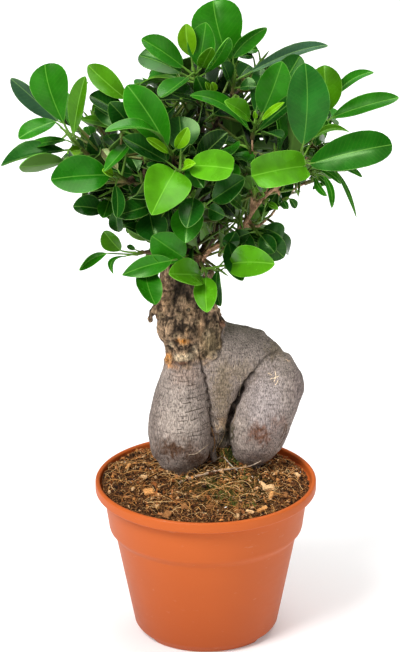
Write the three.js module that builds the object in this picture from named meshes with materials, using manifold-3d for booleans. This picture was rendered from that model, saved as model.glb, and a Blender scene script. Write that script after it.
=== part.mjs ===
// A ficus ginseng bonsai in its 12 cm nursery pot, in millimetres.
// +Z is up, the origin is the middle of the pot's underside, and the front of the plant faces -Y.
// The swollen rootstock stands in the potting soil, branches are grafted on its cut neck, and
// every leafy spray is one body of green shoot, leaf stalks and leaves at the end of a twig.

import * as THREE from "three";
import { mergeVertices } from "three/addons/utils/BufferGeometryUtils.js";
import Module from "manifold-3d";

const wasm = await Module();
wasm.setup();

// Driving dimensions
const POT_HEIGHT = 88;
const RIM_RADIUS = 60;
const RIM_BAND = 6.8;
const COLLAR_TOP_RADIUS = 55.5;
const COLLAR_BOTTOM_RADIUS = 52.5;
const COLLAR_BOTTOM = 60;
const BODY_TOP_RADIUS = 49.5;
const BODY_TOP = 57;
const FOOT_TOP_RADIUS = 39.3;
const FOOT_TOP = 5;
const FOOT_RADIUS = 36;
const WALL = 1.5;
const BASE_THICKNESS = 2.2;
const POT_SIDES = 32;
const DRAIN_HOLES = 5;
const DRAIN_RADIUS = 3;
const DRAIN_CIRCLE = 24;
const DRAIN_SIDES = 8;
const NOTCHES = 3;
const NOTCH_TURN = 89;
const NOTCH_WIDTH = 16;
const NOTCH_HEIGHT = 2.6;

const GAP = 0.3;
const SOIL_EDGE = 83.2;
const SOIL_CROWN = 5.6;
const SOIL_SIDES = 26;

const BLADE_THICKNESS = 0.8;
const BLADE_FOLD = 14;
const STALK_SHARE = 0.14;
const STALK_LENGTH = 6;
const LONG_STALK = 1.9;
const STALK_RADIUS = 0.6;
const SHOOT_RADIUS = 1.2;
const SHOOT_SIDES = 5;
const FIRST_LEAF = 0.25;
const LONGEST_STRETCH = 3.4;
const BUD_LENGTH = 2.2;
const TWIG_RADIUS = 1.3;
const RIBBED_WIDTH = 15.5;
const CLEARANCE = 0.32;
const OWN_CLEARANCE = 0.06;
const GOLDEN_ANGLE = 137.508;

const material = (color, roughness) =>
  new THREE.MeshStandardMaterial({ color, roughness, metalness: 0 });
const terracotta = material(0xc9693c, 0.55);
const soilBrown = material(0x4d3b2c, 0.95);
const bark = material(0x85786c, 0.9);
const twigBark = material(0x8a6449, 0.85);
const leafGreen = material(0x3c7d1f, 0.35);

const vector = (p) => new THREE.Vector3(p[0], p[1], p[2]);
const radians = THREE.MathUtils.degToRad;

// A surface that is built up ring by ring. Each ring is a list of points that runs anticlockwise
// seen from the far end.
class Surface {
  positions = [];
  faces = [];

  ring(points) {
    const first = this.positions.length / 3;
    for (const p of points) this.positions.push(p.x, p.y, p.z);
    return points.map((p, i) => first + i);
  }

  // Joins two rings of one length, a ring and a point, or a stalk's ring of four points and a
  // blade's of six. The far half of a ring splits its faces the other way, so that both faces
  // of a thin blade have the same triangles. skip leaves one side open.
  join(a, b, skip = -1) {
    const count = Math.max(a.length, b.length);
    if (a.length === 4 && b.length === 6) {
      this.faces.push(a[0], a[1], b[1], a[0], b[1], b[0]);
      this.faces.push(a[1], a[2], b[2], a[1], b[2], b[1], a[2], b[3], b[2]);
      this.faces.push(a[2], a[3], b[4], a[2], b[4], b[3]);
      this.faces.push(a[3], a[0], b[5], a[3], b[5], b[4], a[0], b[0], b[5]);
      return;
    }
    for (let j = 0; j < count; j++) {
      const k = (j + 1) % count;
      if (j === skip) continue;
      if (b.length === 1) this.faces.push(a[j], a[k], b[0]);
      else if (a.length === 1) this.faces.push(a[0], b[k], b[j]);
      else if (j > count / 2) this.faces.push(a[j], a[k], b[j], a[k], b[k], b[j]);
      else this.faces.push(a[j], a[k], b[k], a[j], b[k], b[j]);
    }
  }

  close(ring, far) {
    for (let j = 1; j + 1 < ring.length; j++) {
      if (far) this.faces.push(ring[0], ring[j], ring[j + 1]);
      else this.faces.push(ring[0], ring[j + 1], ring[j]);
    }
  }

  geometry() {
    const geometry = new THREE.BufferGeometry();
    geometry.setAttribute("position", new THREE.Float32BufferAttribute(this.positions, 3));
    geometry.setIndex(this.faces);
    return geometry;
  }
}

// A closed body through rings of points. A ring of one point makes a pointed end.
function loft(rings) {
  const surface = new Surface();
  const made = rings.map((points) => surface.ring(points));
  surface.close(made[0], false);
  for (let i = 0; i + 1 < made.length; i++) surface.join(made[i], made[i + 1]);
  surface.close(made[made.length - 1], true);
  return surface.geometry();
}

function solidOf(geometry) {
  const bare = geometry.clone();
  bare.deleteAttribute("normal");
  bare.deleteAttribute("uv");
  const merged = mergeVertices(bare, 1e-4);
  return new wasm.Manifold(
    new wasm.Mesh({
      numProp: 3,
      vertProperties: new Float32Array(merged.attributes.position.array),
      triVerts: new Uint32Array(merged.index.array),
    }),
  );
}

function meshOf(solid, name, paint) {
  const made = solid.getMesh();
  const geometry = new THREE.BufferGeometry();
  geometry.setAttribute("position", new THREE.BufferAttribute(made.vertProperties, 3));
  geometry.setIndex(new THREE.BufferAttribute(made.triVerts, 1));
  geometry.computeVertexNormals();
  const mesh = new THREE.Mesh(geometry, paint);
  mesh.name = name;
  return mesh;
}

const joined = (solids) => solids.reduce((whole, piece) => whole.add(piece));

// The largest body of a solid, without the loose scraps that a cut can leave
function mainBody(solid) {
  const bodies = solid.decompose();
  return bodies.reduce((best, body) => (body.volume() > best.volume() ? body : best));
}

// Rings across a path, with a frame that turns as little as it can from ring to ring. The last
// ring stands across endAxis, where one is given.
function ringsAlong(points, sides, radiusAt, endAxis = null) {
  const rings = [];
  const forward = new THREE.Vector3();
  let side = null;
  points.forEach((p, i) => {
    const before = points[Math.max(i - 1, 0)];
    const after = points[Math.min(i + 1, points.length - 1)];
    forward.subVectors(after, before).normalize();
    if (endAxis && i === points.length - 1) forward.copy(endAxis);
    if (!side) {
      side = Math.abs(forward.z) > 0.8 ? new THREE.Vector3(1, 0, 0) : new THREE.Vector3(0, 0, 1);
    }
    side.addScaledVector(forward, -side.dot(forward)).normalize();
    const up = new THREE.Vector3().crossVectors(forward, side);
    const ring = [];
    for (let j = 0; j < sides; j++) {
      const turn = (j / sides) * 2 * Math.PI;
      const r = radiusAt(i / (points.length - 1), turn);
      ring.push(
        p.clone().addScaledVector(side, r * Math.cos(turn)).addScaledVector(up, r * Math.sin(turn)),
      );
    }
    rings.push(ring);
  });
  return rings;
}

// A tapering limb through marks of [x, y, z, radius], with long shallow swellings round it
function limb(marks, steps, sides, waviness, grow) {
  const curve = new THREE.CatmullRomCurve3(marks.map(vector), false, "centripetal");
  const radiusAt = (share, turn) => {
    const place = share * (marks.length - 1);
    const i = Math.min(Math.floor(place), marks.length - 2);
    const t = place - i;
    const smooth = t * t * (3 - 2 * t);
    const radius = marks[i][3] * (1 - smooth) + marks[i + 1][3] * smooth;
    const swelling =
      Math.cos(2 * turn + 5 * share + marks[0][0]) +
      0.7 * Math.cos(3 * turn - 7 * share + marks[0][2]) +
      0.5 * Math.cos(5 * turn + 11 * share);
    return radius * (1 + waviness * swelling) + grow;
  };
  return solidOf(loft(ringsAlong(curve.getPoints(steps), sides, radiusAt)));
}

// The pot: a thin moulded shell with a rolled rim, a collar, a step and a narrow foot

function potWallInside(z) {
  if (z > COLLAR_BOTTOM) {
    const share = (z - COLLAR_BOTTOM) / (POT_HEIGHT - RIM_BAND - COLLAR_BOTTOM);
    return COLLAR_BOTTOM_RADIUS - WALL + share * (COLLAR_TOP_RADIUS - COLLAR_BOTTOM_RADIUS);
  }
  const share = (z - FOOT_TOP) / (BODY_TOP - FOOT_TOP);
  return FOOT_TOP_RADIUS - WALL + share * (BODY_TOP_RADIUS - FOOT_TOP_RADIUS);
}

function makePot() {
  const rimFoot = POT_HEIGHT - RIM_BAND;
  const profile = [
    [0, 0],
    [FOOT_RADIUS, 0],
    [FOOT_TOP_RADIUS, FOOT_TOP],
    [BODY_TOP_RADIUS, BODY_TOP],
    [COLLAR_BOTTOM_RADIUS, COLLAR_BOTTOM],
    [COLLAR_TOP_RADIUS, rimFoot],
    [RIM_RADIUS - 0.6, rimFoot],
    [RIM_RADIUS, rimFoot + 1],
    [RIM_RADIUS, POT_HEIGHT - 1.4],
    [RIM_RADIUS - 1.2, POT_HEIGHT],
    [RIM_RADIUS - 2.2, POT_HEIGHT],
    [RIM_RADIUS - 3.2, POT_HEIGHT - 1.6],
    [COLLAR_TOP_RADIUS - WALL, rimFoot],
    [COLLAR_BOTTOM_RADIUS - WALL, COLLAR_BOTTOM + 0.6],
    [BODY_TOP_RADIUS - WALL, BODY_TOP + 0.6],
    [FOOT_TOP_RADIUS - WALL, FOOT_TOP + 0.6],
    [FOOT_RADIUS - WALL, BASE_THICKNESS],
    [0, BASE_THICKNESS],
  ].map(([r, z]) => new THREE.Vector2(r, z));
  const shell = new THREE.LatheGeometry(profile, POT_SIDES).rotateX(Math.PI / 2);
  let pot = solidOf(shell);
  for (let i = 0; i < DRAIN_HOLES; i++) {
    const turn = ((i + 0.5) / DRAIN_HOLES) * 2 * Math.PI;
    const hole = new THREE.CylinderGeometry(DRAIN_RADIUS, DRAIN_RADIUS, 4 * BASE_THICKNESS, DRAIN_SIDES)
      .rotateX(Math.PI / 2)
      .translate(DRAIN_CIRCLE * Math.cos(turn), DRAIN_CIRCLE * Math.sin(turn), 0);
    pot = pot.subtract(solidOf(hole));
  }
  for (let i = 0; i < NOTCHES; i++) {
    const notch = new THREE.BoxGeometry(4, NOTCH_WIDTH, 2 * NOTCH_HEIGHT)
      .translate(FOOT_TOP_RADIUS - 0.6, 0, 0)
      .rotateZ(radians(NOTCH_TURN + (360 * i) / NOTCHES));
    pot = pot.subtract(solidOf(notch));
  }
  return pot;
}

// The rootstock, as marks of [x, y, z, radius] from the top down. The trunk swells where the
// branches are grafted and again in the fat left root. From its right side grows a shoulder,
// which folds down into the fat right root, and between the two hangs a short blunt root.

const TRUNK = [
  [-11.5, 14, 211, 9.6], [-12.8, 14, 199, 10.8], [-13, 14, 190, 12.2], [-12, 14, 180, 14.5],
  [-8.8, 14, 171.5, 17], [-7.5, 14, 164, 16.2], [-7.3, 14, 156.5, 14.8], [-8.7, 13.5, 149.5, 14],
  [-11, 12.5, 142, 13.6], [-13.2, 11.5, 133, 14.8], [-13.8, 11, 125.5, 16.2], [-14, 11, 117, 17.4],
  [-14, 11, 109.5, 17.6], [-13.5, 11, 101.5, 16.2], [-13.4, 10.5, 95, 12.6], [-13.3, 10, 90, 8.8],
  [-12, 10, 72, 6], [-12, 10, 58, 3.5],
];
const SHOULDER = [
  [-1, 14, 159, 14], [9, 17, 154.2, 16], [19, 19, 150.7, 17], [26.5, 20, 148.5, 16],
  [33, 19, 146, 13.5], [38, 18, 142.5, 10],
];
const RIGHT_ROOT = [
  [37, 18, 149, 7.5], [40.5, 16, 143, 11.6], [38.5, 15, 136, 14.6], [35.6, 15, 128, 16.3],
  [32, 15, 120, 17], [29.2, 16, 112, 17], [27, 17, 103.5, 16], [25.2, 18.5, 96, 12.6],
  [24.2, 20, 89.5, 8.2], [24.5, 21, 74, 4.8], [24, 20, 60, 3.2],
];
const MIDDLE_ROOT = [
  [3.7, 14, 156.5, 12.5], [6.2, 12.5, 148, 12.6], [7.6, 12, 139.5, 11.2], [8.4, 12, 130.5, 9],
  [8.2, 12.5, 122.5, 7], [7.9, 12.5, 117, 4.8], [6.8, 13, 112, 2.6], [4.6, 13, 106, 1.9],
  [3.3, 13, 98.5, 1.6], [6, 13, 88, 1.5], [6, 13, 76, 1.2],
];
const DEAD_STUB = [
  [-17.5, 12, 182.5, 5], [-24.5, 11, 183, 3.6], [-28.4, 10.5, 179.6, 2.5], [-30, 10.5, 174, 1.2],
];
const GRAFT_FLARE = [
  [-1, 8, 184, 8], [1.6, 7, 177.5, 8], [3.2, 6.5, 171.4, 7.2], [3.2, 7, 164.5, 6.2],
  [1.6, 8, 157.8, 4.6],
];
const CUT_STUB = [[-8, 12, 194, 6], [-1.5, 7, 201, 5.2], [2.2, 4, 205, 4.6]];

function makeRootstock(grow) {
  return joined([
    limb(TRUNK, 17, 14, 0.025, grow),
    limb(SHOULDER, 5, 14, 0.02, grow),
    limb(RIGHT_ROOT, 10, 14, 0.025, grow),
    limb(MIDDLE_ROOT, 9, 9, 0.03, grow),
    limb(DEAD_STUB, 3, 6, 0.06, grow),
    limb(GRAFT_FLARE, 4, 8, 0.05, grow),
    limb(CUT_STUB, 2, 7, 0.04, grow),
  ]);
}

// The potting soil: it fills the pot up to a low uneven mound, with a hole where each root stands

function soilHeight(x, y) {
  const share = Math.hypot(x, y) / RIM_RADIUS;
  const lumps = Math.sin(0.19 * x + 1) * Math.cos(0.23 * y) + 0.6 * Math.sin(0.37 * y - 0.31 * x);
  return SOIL_EDGE + SOIL_CROWN * (1 - share * share) + 0.7 * lumps - 0.022 * (x + 0.6 * y);
}

function makeSoil() {
  const ring = (radiusAt, heightAt) => {
    const points = [];
    for (let j = 0; j < SOIL_SIDES; j++) {
      const turn = (j / SOIL_SIDES) * 2 * Math.PI;
      const r = radiusAt(turn);
      const x = r * Math.cos(turn);
      const y = r * Math.sin(turn);
      points.push(new THREE.Vector3(x, y, heightAt(x, y)));
    }
    return points;
  };
  // A regular ring of flats lies inside the wall's own ring by this share
  const inset = 0.994;
  const wallRing = (z, shift) => ring(() => (potWallInside(z) - GAP - shift) * inset, () => z);
  const edge = ring(() => (potWallInside(SOIL_EDGE - 2.5) - GAP) * inset, soilHeight);
  const rings = [
    [new THREE.Vector3(0, 0, BASE_THICKNESS + GAP)],
    ring(() => FOOT_RADIUS - WALL - 2 * GAP, () => BASE_THICKNESS + GAP),
    wallRing(FOOT_TOP + 1, 0.2),
    wallRing(BODY_TOP, 0.3),
    ring(() => (COLLAR_BOTTOM_RADIUS - WALL - GAP) * inset, () => COLLAR_BOTTOM + 2),
    edge,
  ];
  for (const share of [0.8, 0.55, 0.3]) {
    rings.push(ring(() => share * COLLAR_TOP_RADIUS, soilHeight));
  }
  rings.push([new THREE.Vector3(0, 0, soilHeight(0, 0))]);
  return mainBody(solidOf(loft(rings)).subtract(makeRootstock(GAP)));
}

// The woody strands of each grafted branch, as marks of [x, y, z, radius] from the trunk outwards.
// Strands of the same branch are joined.
const STRANDS = {
  right: { branch: "right", marks: [
    [-6, 14, 205, 5.2], [4, 9, 216, 3.6], [14, 2, 224, 3.1], [22, -4, 235, 2.9], [27, -9, 245, 2.6],
    [33, -12, 253, 2.2], [39, -14, 258, 2], [46, -17, 264, 1.7], [50, -20, 270, 1.25],
  ] },
  right_up: { branch: "right", marks: [
    [24, -6, 240, 2.2], [25, -8, 253, 1.9], [25, -6, 264, 1.6], [25, -4, 273, 1.4], [25, -4, 281, 1.25],
  ] },
  right_rear: { branch: "right", marks: [
    [20, -2, 232, 2], [30, 8, 229, 1.9], [38, 15, 236, 1.8], [49, 20, 250, 1.6], [55, 15, 266, 1.4],
    [57, 10, 278, 1.25],
  ] },
  left: { branch: "left", marks: [
    [-12, 14, 205, 4.4], [-18, 8, 221, 3.4], [-24, 4, 232, 3], [-30, 0, 243, 2.6], [-35, 2, 253, 2.2],
    [-43, 6, 261, 1.8], [-53, 8, 266, 1.5], [-61, 8, 268, 1.25],
  ] },
  left_low: { branch: "left", marks: [
    [-16, 10, 213, 2.8], [-23, 3, 216, 2.4], [-30, -3, 218, 2], [-33, -6, 219, 1.3],
  ] },
  left_rear: { branch: "left", marks: [
    [-35, 2, 253, 1.8], [-46, 14, 260, 1.6], [-56, 22, 266, 1.4], [-62, 28, 272, 1.25],
  ] },
  centre: { branch: "centre", marks: [
    [-9, 17, 206, 3.6], [-11, 12, 228, 2.6], [-13, 4, 247, 2.1], [-15, -10, 264, 1.7],
    [-16, -20, 273, 1.5], [-16, -24, 277, 1.25],
  ] },
  high: { branch: "high", marks: [
    [-6, 20, 206, 3.8], [-3, 21, 231, 2.9], [0, 16, 257, 2.4], [-1, 10, 281, 1.9],
    [-3, 6, 296, 1.5], [-4, 4, 306, 1.25],
  ] },
  high_right: { branch: "high", marks: [
    [-1, 14, 266, 1.9], [5, 14, 281, 1.7], [11, 11, 294, 1.5], [15, 8, 302, 1.25],
  ] },
  back: { branch: "back", marks: [
    [-9, 20, 204, 3.8], [-9, 34, 226, 2.9], [-7, 46, 246, 2.4], [-2, 53, 268, 1.9], [4, 55, 292, 1.25],
  ] },
  back_left: { branch: "back", marks: [
    [-9, 34, 226, 2.4], [-24, 41, 237, 2.1], [-41, 43, 251, 1.7], [-54, 40, 270, 1.25],
  ] },
  back_right: { branch: "back_right", marks: [
    [-4, 22, 205, 3.6], [10, 35, 223, 2.7], [28, 43, 240, 2.2], [46, 43, 256, 1.7], [59, 35, 274, 1.25],
  ] },
};

// Every spray grows at its own place on a strand. foot and bud are the two ends of its green
// shoot. Its leaves follow each other from the foot to the bud, each as [tip, width, turn of its
// face, arch, age]. A turn of 0 faces the front, and the arch is a share of the leaf's length.
const FRONT_SPRAYS = [
  { name: "left_fan", strand: "left", place: 1, foot: [-61, 8, 268], bud: [-69, 0, 279], leaves: [
    [[-104, -24, 270], 15, 115, 0.03, "mature"],
    [[-106, -4, 266], 17, 40, 0.05, "dark"],
    [[-71, -14, 276], 5, 0, 0.05, "young"],
    [[-99, 16, 268], 13, 55, 0.3, "mature"],
    [[-62, -10, 315], 15, -50, 0.06, "mature"],
    [[-95, -14, 284], 13, 50, 0.28, "mature"],
    [[-100, 12, 309], 15, 62, 0.05, "mature"],
    [[-81, 4, 319], 20, 8, 0.06, "mature"],
  ] },
  { name: "left_front", strand: "left", place: 0.62, foot: [-41, -16, 262], bud: [-46, -24, 268], leaves: [
    [[-53, -10, 277], 7, 20, 0.05, "dry"],
    [[-43, -30, 288], 14, -45, 0.15, "mature"],
    [[-44, -34, 248], 14, -35, 0.06, "mature"],
    [[-52, -34, 273], 5, 30, 0.05, "young"],
    [[-78, -38, 270], 20, 12, 0.05, "mature"],
  ] },
  { name: "left_low", strand: "left", place: 0.5, foot: [-43, -8, 248], bud: [-51, -12, 251], leaves: [
    [[-47, -4, 229], 15, 15, 0.06, "dark"],
    [[-54, -22, 240], 12, 10, 0.06, "mature"],
    [[-69, -14, 249], 12, 25, 0.05, "dark"],
  ] },
  { name: "left_inner", strand: "left", place: 0.56, foot: [-32, -4, 253], bud: [-33, -8, 263], leaves: [
    [[-42, 8, 272], 10, 20, 0.06, "dark"],
    [[-47, -17, 260], 9, 20, 0.06, "dark"],
  ] },
  { name: "left_hanging", strand: "left_low", place: 1, foot: [-33, -6, 219], bud: [-36, -9, 219], leaves: [
    [[-41, -4, 225], 6, 20, 0.05, "dark"],
    [[-48, -24, 213], 12, 85, 0.25, "mature"],
    [[-64, -22, 216], 10, 160, 0.22, "mature"],
    [[-52, -8, 233], 15, -35, 0.05, "olive"],
  ] },
  { name: "left_centre", strand: "left", place: 0.42, foot: [-31, -6, 248], bud: [-29, -13, 248], leaves: [
    [[-38, 2, 237], 12, 20, 0.06, "dark"],
    [[-25, -26, 232], 17, 5, 0.05, "dark"],
  ] },
  { name: "low_left", strand: "centre", place: 0.12, foot: [-14, -4, 220], bud: [-11, -24, 220], leaves: [
    [[-41, -24, 238], 11, 45, 0.06, "dark"],
    [[-27, -24, 196], 14, -15, 0.06, "mature"],
    [[-25, -32, 239], 17.5, -10, 0.05, "mature"],
    [[-43, -46, 220], 14, 40, 0.1, "mature"],
  ] },
  { name: "low_centre", strand: "right", place: 0.08, foot: [-2, -4, 212], bud: [1, -22, 213], leaves: [
    [[9, -34, 203], 12, 30, 0.08, "dark"],
    [[-19, -50, 220], 15.5, 10, 0.08, "bright"],
    [[36, -56, 230], 17, -8, 0.06, "bright"],
    [[1, -48, 201], 13, 5, 0.1, "bright"],
  ] },
  { name: "low_right_dark", strand: "right", place: 0.22, foot: [8, -2, 216], bud: [10, -12, 222], leaves: [
    [[16, -20, 235], 9, 20, 0.06, "dark"],
    [[20, -38, 214], 13, 0, 0.06, "dark"],
  ] },
  { name: "centre_low", strand: "centre", place: 0.55, foot: [-8, -20, 254], bud: [-5, -34, 262], leaves: [
    [[-10, -50, 239], 17, 12, 0.06, "mature"],
    [[-9, -58, 250], 13, 0, 0.06, "dark"],
  ] },
  { name: "centre_dark", strand: "centre", place: 0.4, foot: [-2, -10, 241], bud: [0, -28, 253], leaves: [
    [[10, -34, 248], 9, 20, 0.06, "dark"],
    [[20, -46, 272], 14, -20, 0.06, "dark"],
  ] },
  { name: "centre_front", strand: "centre", place: 0.82,
    foot: [-14, -25, 269], bud: [-12, -36, 273], leaves: [
    [[-29, -40, 276], 9, 80, 0.06, "dark"],
    [[-42, -26, 288], 13, 30, 0.06, "dark"],
    [[-13, -22, 298], 19, 10, 0.05, "dark"],
    [[-26, -62, 259], 24, 0, 0.05, "bright"],
    [[14, -60, 279], 16, -15, 0.05, "bright"],
    [[-5, -52, 282], 6, -30, 0.05, "young"],
  ] },
  { name: "centre_upper", strand: "centre", place: 1, foot: [-16, -24, 277], bud: [-17, -30, 282], leaves: [
    [[-50, -52, 299], 12, 70, 0.2, "mature"],
    [[-30, -40, 293], 5, 40, 0.05, "young"],
    [[-39, -34, 318], 19, -6, 0.06, "mature"],
    [[-8, -36, 297], 7, 35, 0.05, "young"],
  ] },
  { name: "top_left", strand: "high", place: 1, foot: [-4, 4, 306], bud: [-5, -2, 317], leaves: [
    [[-34, 10, 306], 10, 78, 0.06, "olive"],
    [[-33, 24, 303], 12, 30, 0.06, "mature"],
    [[-34, 10, 322], 15, 20, 0.06, "dark"],
    [[13, -26, 339], 10, 62, 0.05, "mature"],
    [[1, -6, 343], 15, -12, 0.06, "mature"],
    [[-32, -8, 335], 14, 28, 0.06, "mature"],
    [[4, -22, 334], 9, 30, 0.05, "olive"],
    [[-22, -34, 311], 12, 45, 0.03, "mature"],
    [[-10, -6, 342], 11, -5, 0.05, "young"],
  ] },
  { name: "top_bud", strand: "high_right", place: 0.5, foot: [5, -2, 299], bud: [5, -8, 305], leaves: [
    [[1, -12, 313], 3.5, 20, 0.05, "young"],
    [[4, -10, 314], 4, 0, 0.05, "young"],
  ] },
  { name: "top", strand: "high_right", place: 1, foot: [15, 8, 302], bud: [16, 4, 312], leaves: [
    [[27, 2, 307], 9, -40, 0.05, "dark"],
    [[9, -2, 321], 9, 40, 0.05, "dark"],
    [[24, 22, 313], 9, -10, 0.05, "dark"],
    [[66, 30, 321], 15, -60, 0.12, "mature"],
    [[8, 14, 351], 25, 0, 0.05, "mature"],
    [[33, 4, 338], 13, 30, 0.05, "mature"],
  ] },
  { name: "upper_right", strand: "right_up", place: 1, foot: [25, -4, 281], bud: [27, -12, 292], leaves: [
    [[40, -20, 285], 10, -75, 0.06, "dark"],
    [[49, -30, 310], 10, -40, 0.06, "dark"],
    [[-11, -24, 309], 10, 68, 0.18, "mature"],
    [[50, 16, 319], 15, 0, 0.06, "dark"],
    [[26, 14, 317], 10, 0, 0.06, "dark"],
    [[40, -16, 325], 17.5, 8, 0.06, "mature"],
    [[10, -34, 309], 10, 30, 0.08, "bright"],
    [[40, -36, 309], 4, -30, 0.05, "young"],
    [[26, -14, 298], 2.5, 0, 0.05, "young"],
  ] },
  { name: "right_front", strand: "right", place: 1, foot: [50, -20, 270], bud: [50, -28, 281], leaves: [
    [[65, -16, 268], 9, -60, 0.06, "dark"],
    [[73, -10, 286], 8, -70, 0.06, "olive"],
    [[95, -38, 289], 17.5, -12, 0.06, "mature"],
    [[26, -72, 277], 19, -10, 0.06, "bright"],
    [[51, -30, 328], 22.5, 5, 0.06, "mature"],
  ] },
  { name: "right_back", strand: "right_rear", place: 1, foot: [57, 10, 278], bud: [60, 8, 286], leaves: [
    [[102, 6, 300], 13, -40, 0.06, "mature"],
    [[91, 26, 308], 10, -60, 0.06, "mature"],
    [[69, 14, 314], 16, -10, 0.06, "olive"],
    [[65, 0, 287], 4, 0, 0.05, "mature"],
  ] },
  { name: "right_droop", strand: "right_rear", place: 0.66, foot: [52, 6, 257], bud: [57, 2, 261], leaves: [
    [[80, 4, 234], 10, 84, 0.3, "mature"],
    [[66, -10, 244], 8, 20, 0.2, "mature"],
    [[64, -16, 253], 8, 40, 0.1, "mature"],
    [[83, 14, 254], 9, 160, 0.12, "mature"],
    [[67, -2, 253], 7, 0, 0.05, "dark"],
    [[72, -6, 256], 11, 150, 0.08, "mature"],
  ] },
  { name: "right_under", strand: "right", place: 0.72, foot: [41, -15, 250], bud: [43, -20, 253], leaves: [
    [[38, -26, 252], 8, -20, 0.06, "dark"],
    [[43, -28, 246], 8, 20, 0.06, "dark"],
    [[49, -18, 246], 9, -20, 0.06, "dark"],
  ] },
  { name: "right_twig", strand: "right", place: 0.6, foot: [31, -17, 250], bud: [33, -22, 253], leaves: [
    [[30, -14, 240], 7, 60, 0.06, "dark"],
    [[41, -34, 249], 9, -10, 0.06, "olive"],
  ] },
  { name: "fork_bud", strand: "right_up", place: 0.25, foot: [26, -14, 252], bud: [26, -20, 258], leaves: [
    [[21, -14, 262], 9, 160, 0.05, "mature"],
    [[30, -26, 263], 6, 20, 0.05, "olive"],
    [[24, -24, 267], 7, 170, 0.05, "mature"],
  ] },
  { name: "low_right", strand: "right", place: 0.38, foot: [25, -8, 234], bud: [27, -14, 232], leaves: [
    [[41, -10, 228], 11, -20, 0.3, "dark"],
    [[45, -6, 217], 10, -30, 0.25, "dark"],
    [[42, -18, 220], 14, 10, 0.22, "dark"],
    [[36, -24, 224], 10, 20, 0.1, "dark"],
    [[15, -16, 229], 8, 10, 0.06, "dark"],
  ] },
  { name: "upper_left", strand: "left", place: 0.5, foot: [-33, -4, 280], bud: [-36, -10, 289], leaves: [
    [[-65, 14, 287], 6, 20, 0.05, "olive"],
    [[-57, 6, 295], 9, -20, 0.05, "dark"],
    [[-48, -22, 305], 14, 0, 0.06, "dark"],
    [[-59, -6, 305], 13, 35, 0.06, "dark"],
    [[-60, -2, 320], 13.5, 12, 0.06, "olive"],
  ] },
];

// Sprays inside and behind the crown, whose leaves stand round the shoot by the golden angle
const ROUND_SPRAYS = [
  { name: "back_left_end", strand: "back_left", place: 1,
    foot: [-54, 40, 270], bud: [-60, 44, 281], count: 5 },
  { name: "back_left_out", strand: "back_left", place: 0.7,
    foot: [-45, 53, 252], bud: [-52, 62, 257], count: 4 },
  { name: "back_left_low", strand: "back_left", place: 0.35,
    foot: [-28, 50, 233], bud: [-34, 61, 231], count: 4 },
  { name: "back_top", strand: "back", place: 1, foot: [4, 55, 292], bud: [6, 57, 304], count: 5 },
  { name: "back_upper", strand: "back", place: 0.8, foot: [-13, 60, 276], bud: [-19, 69, 285], count: 4 },
  { name: "back_middle", strand: "back", place: 0.55, foot: [3, 59, 250], bud: [8, 70, 253], count: 4 },
  { name: "back_low", strand: "back", place: 0.3, foot: [-9, 48, 226], bud: [-10, 59, 222], count: 4 },
  { name: "back_right_end", strand: "back_right", place: 1,
    foot: [59, 35, 274], bud: [65, 33, 285], count: 5 },
  { name: "back_right_out", strand: "back_right", place: 0.75,
    foot: [50, 53, 257], bud: [58, 61, 260], count: 4 },
  { name: "back_right_mid", strand: "back_right", place: 0.5,
    foot: [31, 56, 241], bud: [37, 67, 240], count: 4 },
  { name: "back_right_low", strand: "back_right", place: 0.3,
    foot: [24, 36, 222], bud: [33, 40, 216], count: 4 },
  { name: "top_rear_left", strand: "high", place: 0.85,
    foot: [-15, 24, 306], bud: [-21, 32, 316], count: 4 },
  { name: "top_rear_right", strand: "high_right", place: 0.8,
    foot: [24, 28, 304], bud: [31, 37, 312], count: 4 },
  { name: "rear_inner", strand: "back", place: 0.72, foot: [18, 46, 282], bud: [27, 49, 291], count: 3 },
  { name: "left_rear_end", strand: "left_rear", place: 1,
    foot: [-62, 28, 272], bud: [-70, 31, 280], count: 4 },
  { name: "inner_left", strand: "centre", place: 0.3, foot: [-22, 18, 256], bud: [-28, 24, 265], count: 3 },
  { name: "inner_right", strand: "right_up", place: 0.6, foot: [34, 2, 268], bud: [41, 6, 275], count: 3 },
  { name: "inner_high", strand: "high", place: 0.5, foot: [10, 26, 262], bud: [17, 32, 269], count: 3 },
  { name: "inner_low_left", strand: "left", place: 0.3,
    foot: [-33, 14, 240], bud: [-42, 20, 238], count: 3 },
  { name: "side_right", strand: "right_rear", place: 0.5,
    foot: [54, 28, 246], bud: [63, 32, 248], count: 4 },
  { name: "inner_front", strand: "centre", place: 0.7, foot: [-2, 0, 262], bud: [6, -2, 271], count: 4 },
  { name: "inner_front_left", strand: "left", place: 0.75,
    foot: [-44, -2, 277], bud: [-42, 4, 287], count: 4 },
  { name: "inner_front_right", strand: "right", place: 0.55,
    foot: [37, -2, 263], bud: [40, 6, 272], count: 4 },
  { name: "inner_top", strand: "high", place: 0.7, foot: [-13, 2, 286], bud: [-19, 6, 294], count: 4 },
];

// A small seeded generator, so that the same plant grows every time
function seeded(seed) {
  let state = seed;
  return () => {
    state = (state + 0x6d2b79f5) | 0;
    let t = Math.imul(state ^ (state >>> 15), 1 | state);
    t = (t + Math.imul(t ^ (t >>> 7), 61 | t)) ^ t;
    return ((t ^ (t >>> 14)) >>> 0) / 4294967296;
  };
}

// Where on its shoot a leaf's stretch begins, as a share of the shoot: the leaves crowd near the bud
function leafShare(foot, bud, count, index) {
  const stretch = Math.min((1 - FIRST_LEAF) / count, LONGEST_STRETCH / foot.distanceTo(bud));
  return 1 - (count - index) * stretch;
}

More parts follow.
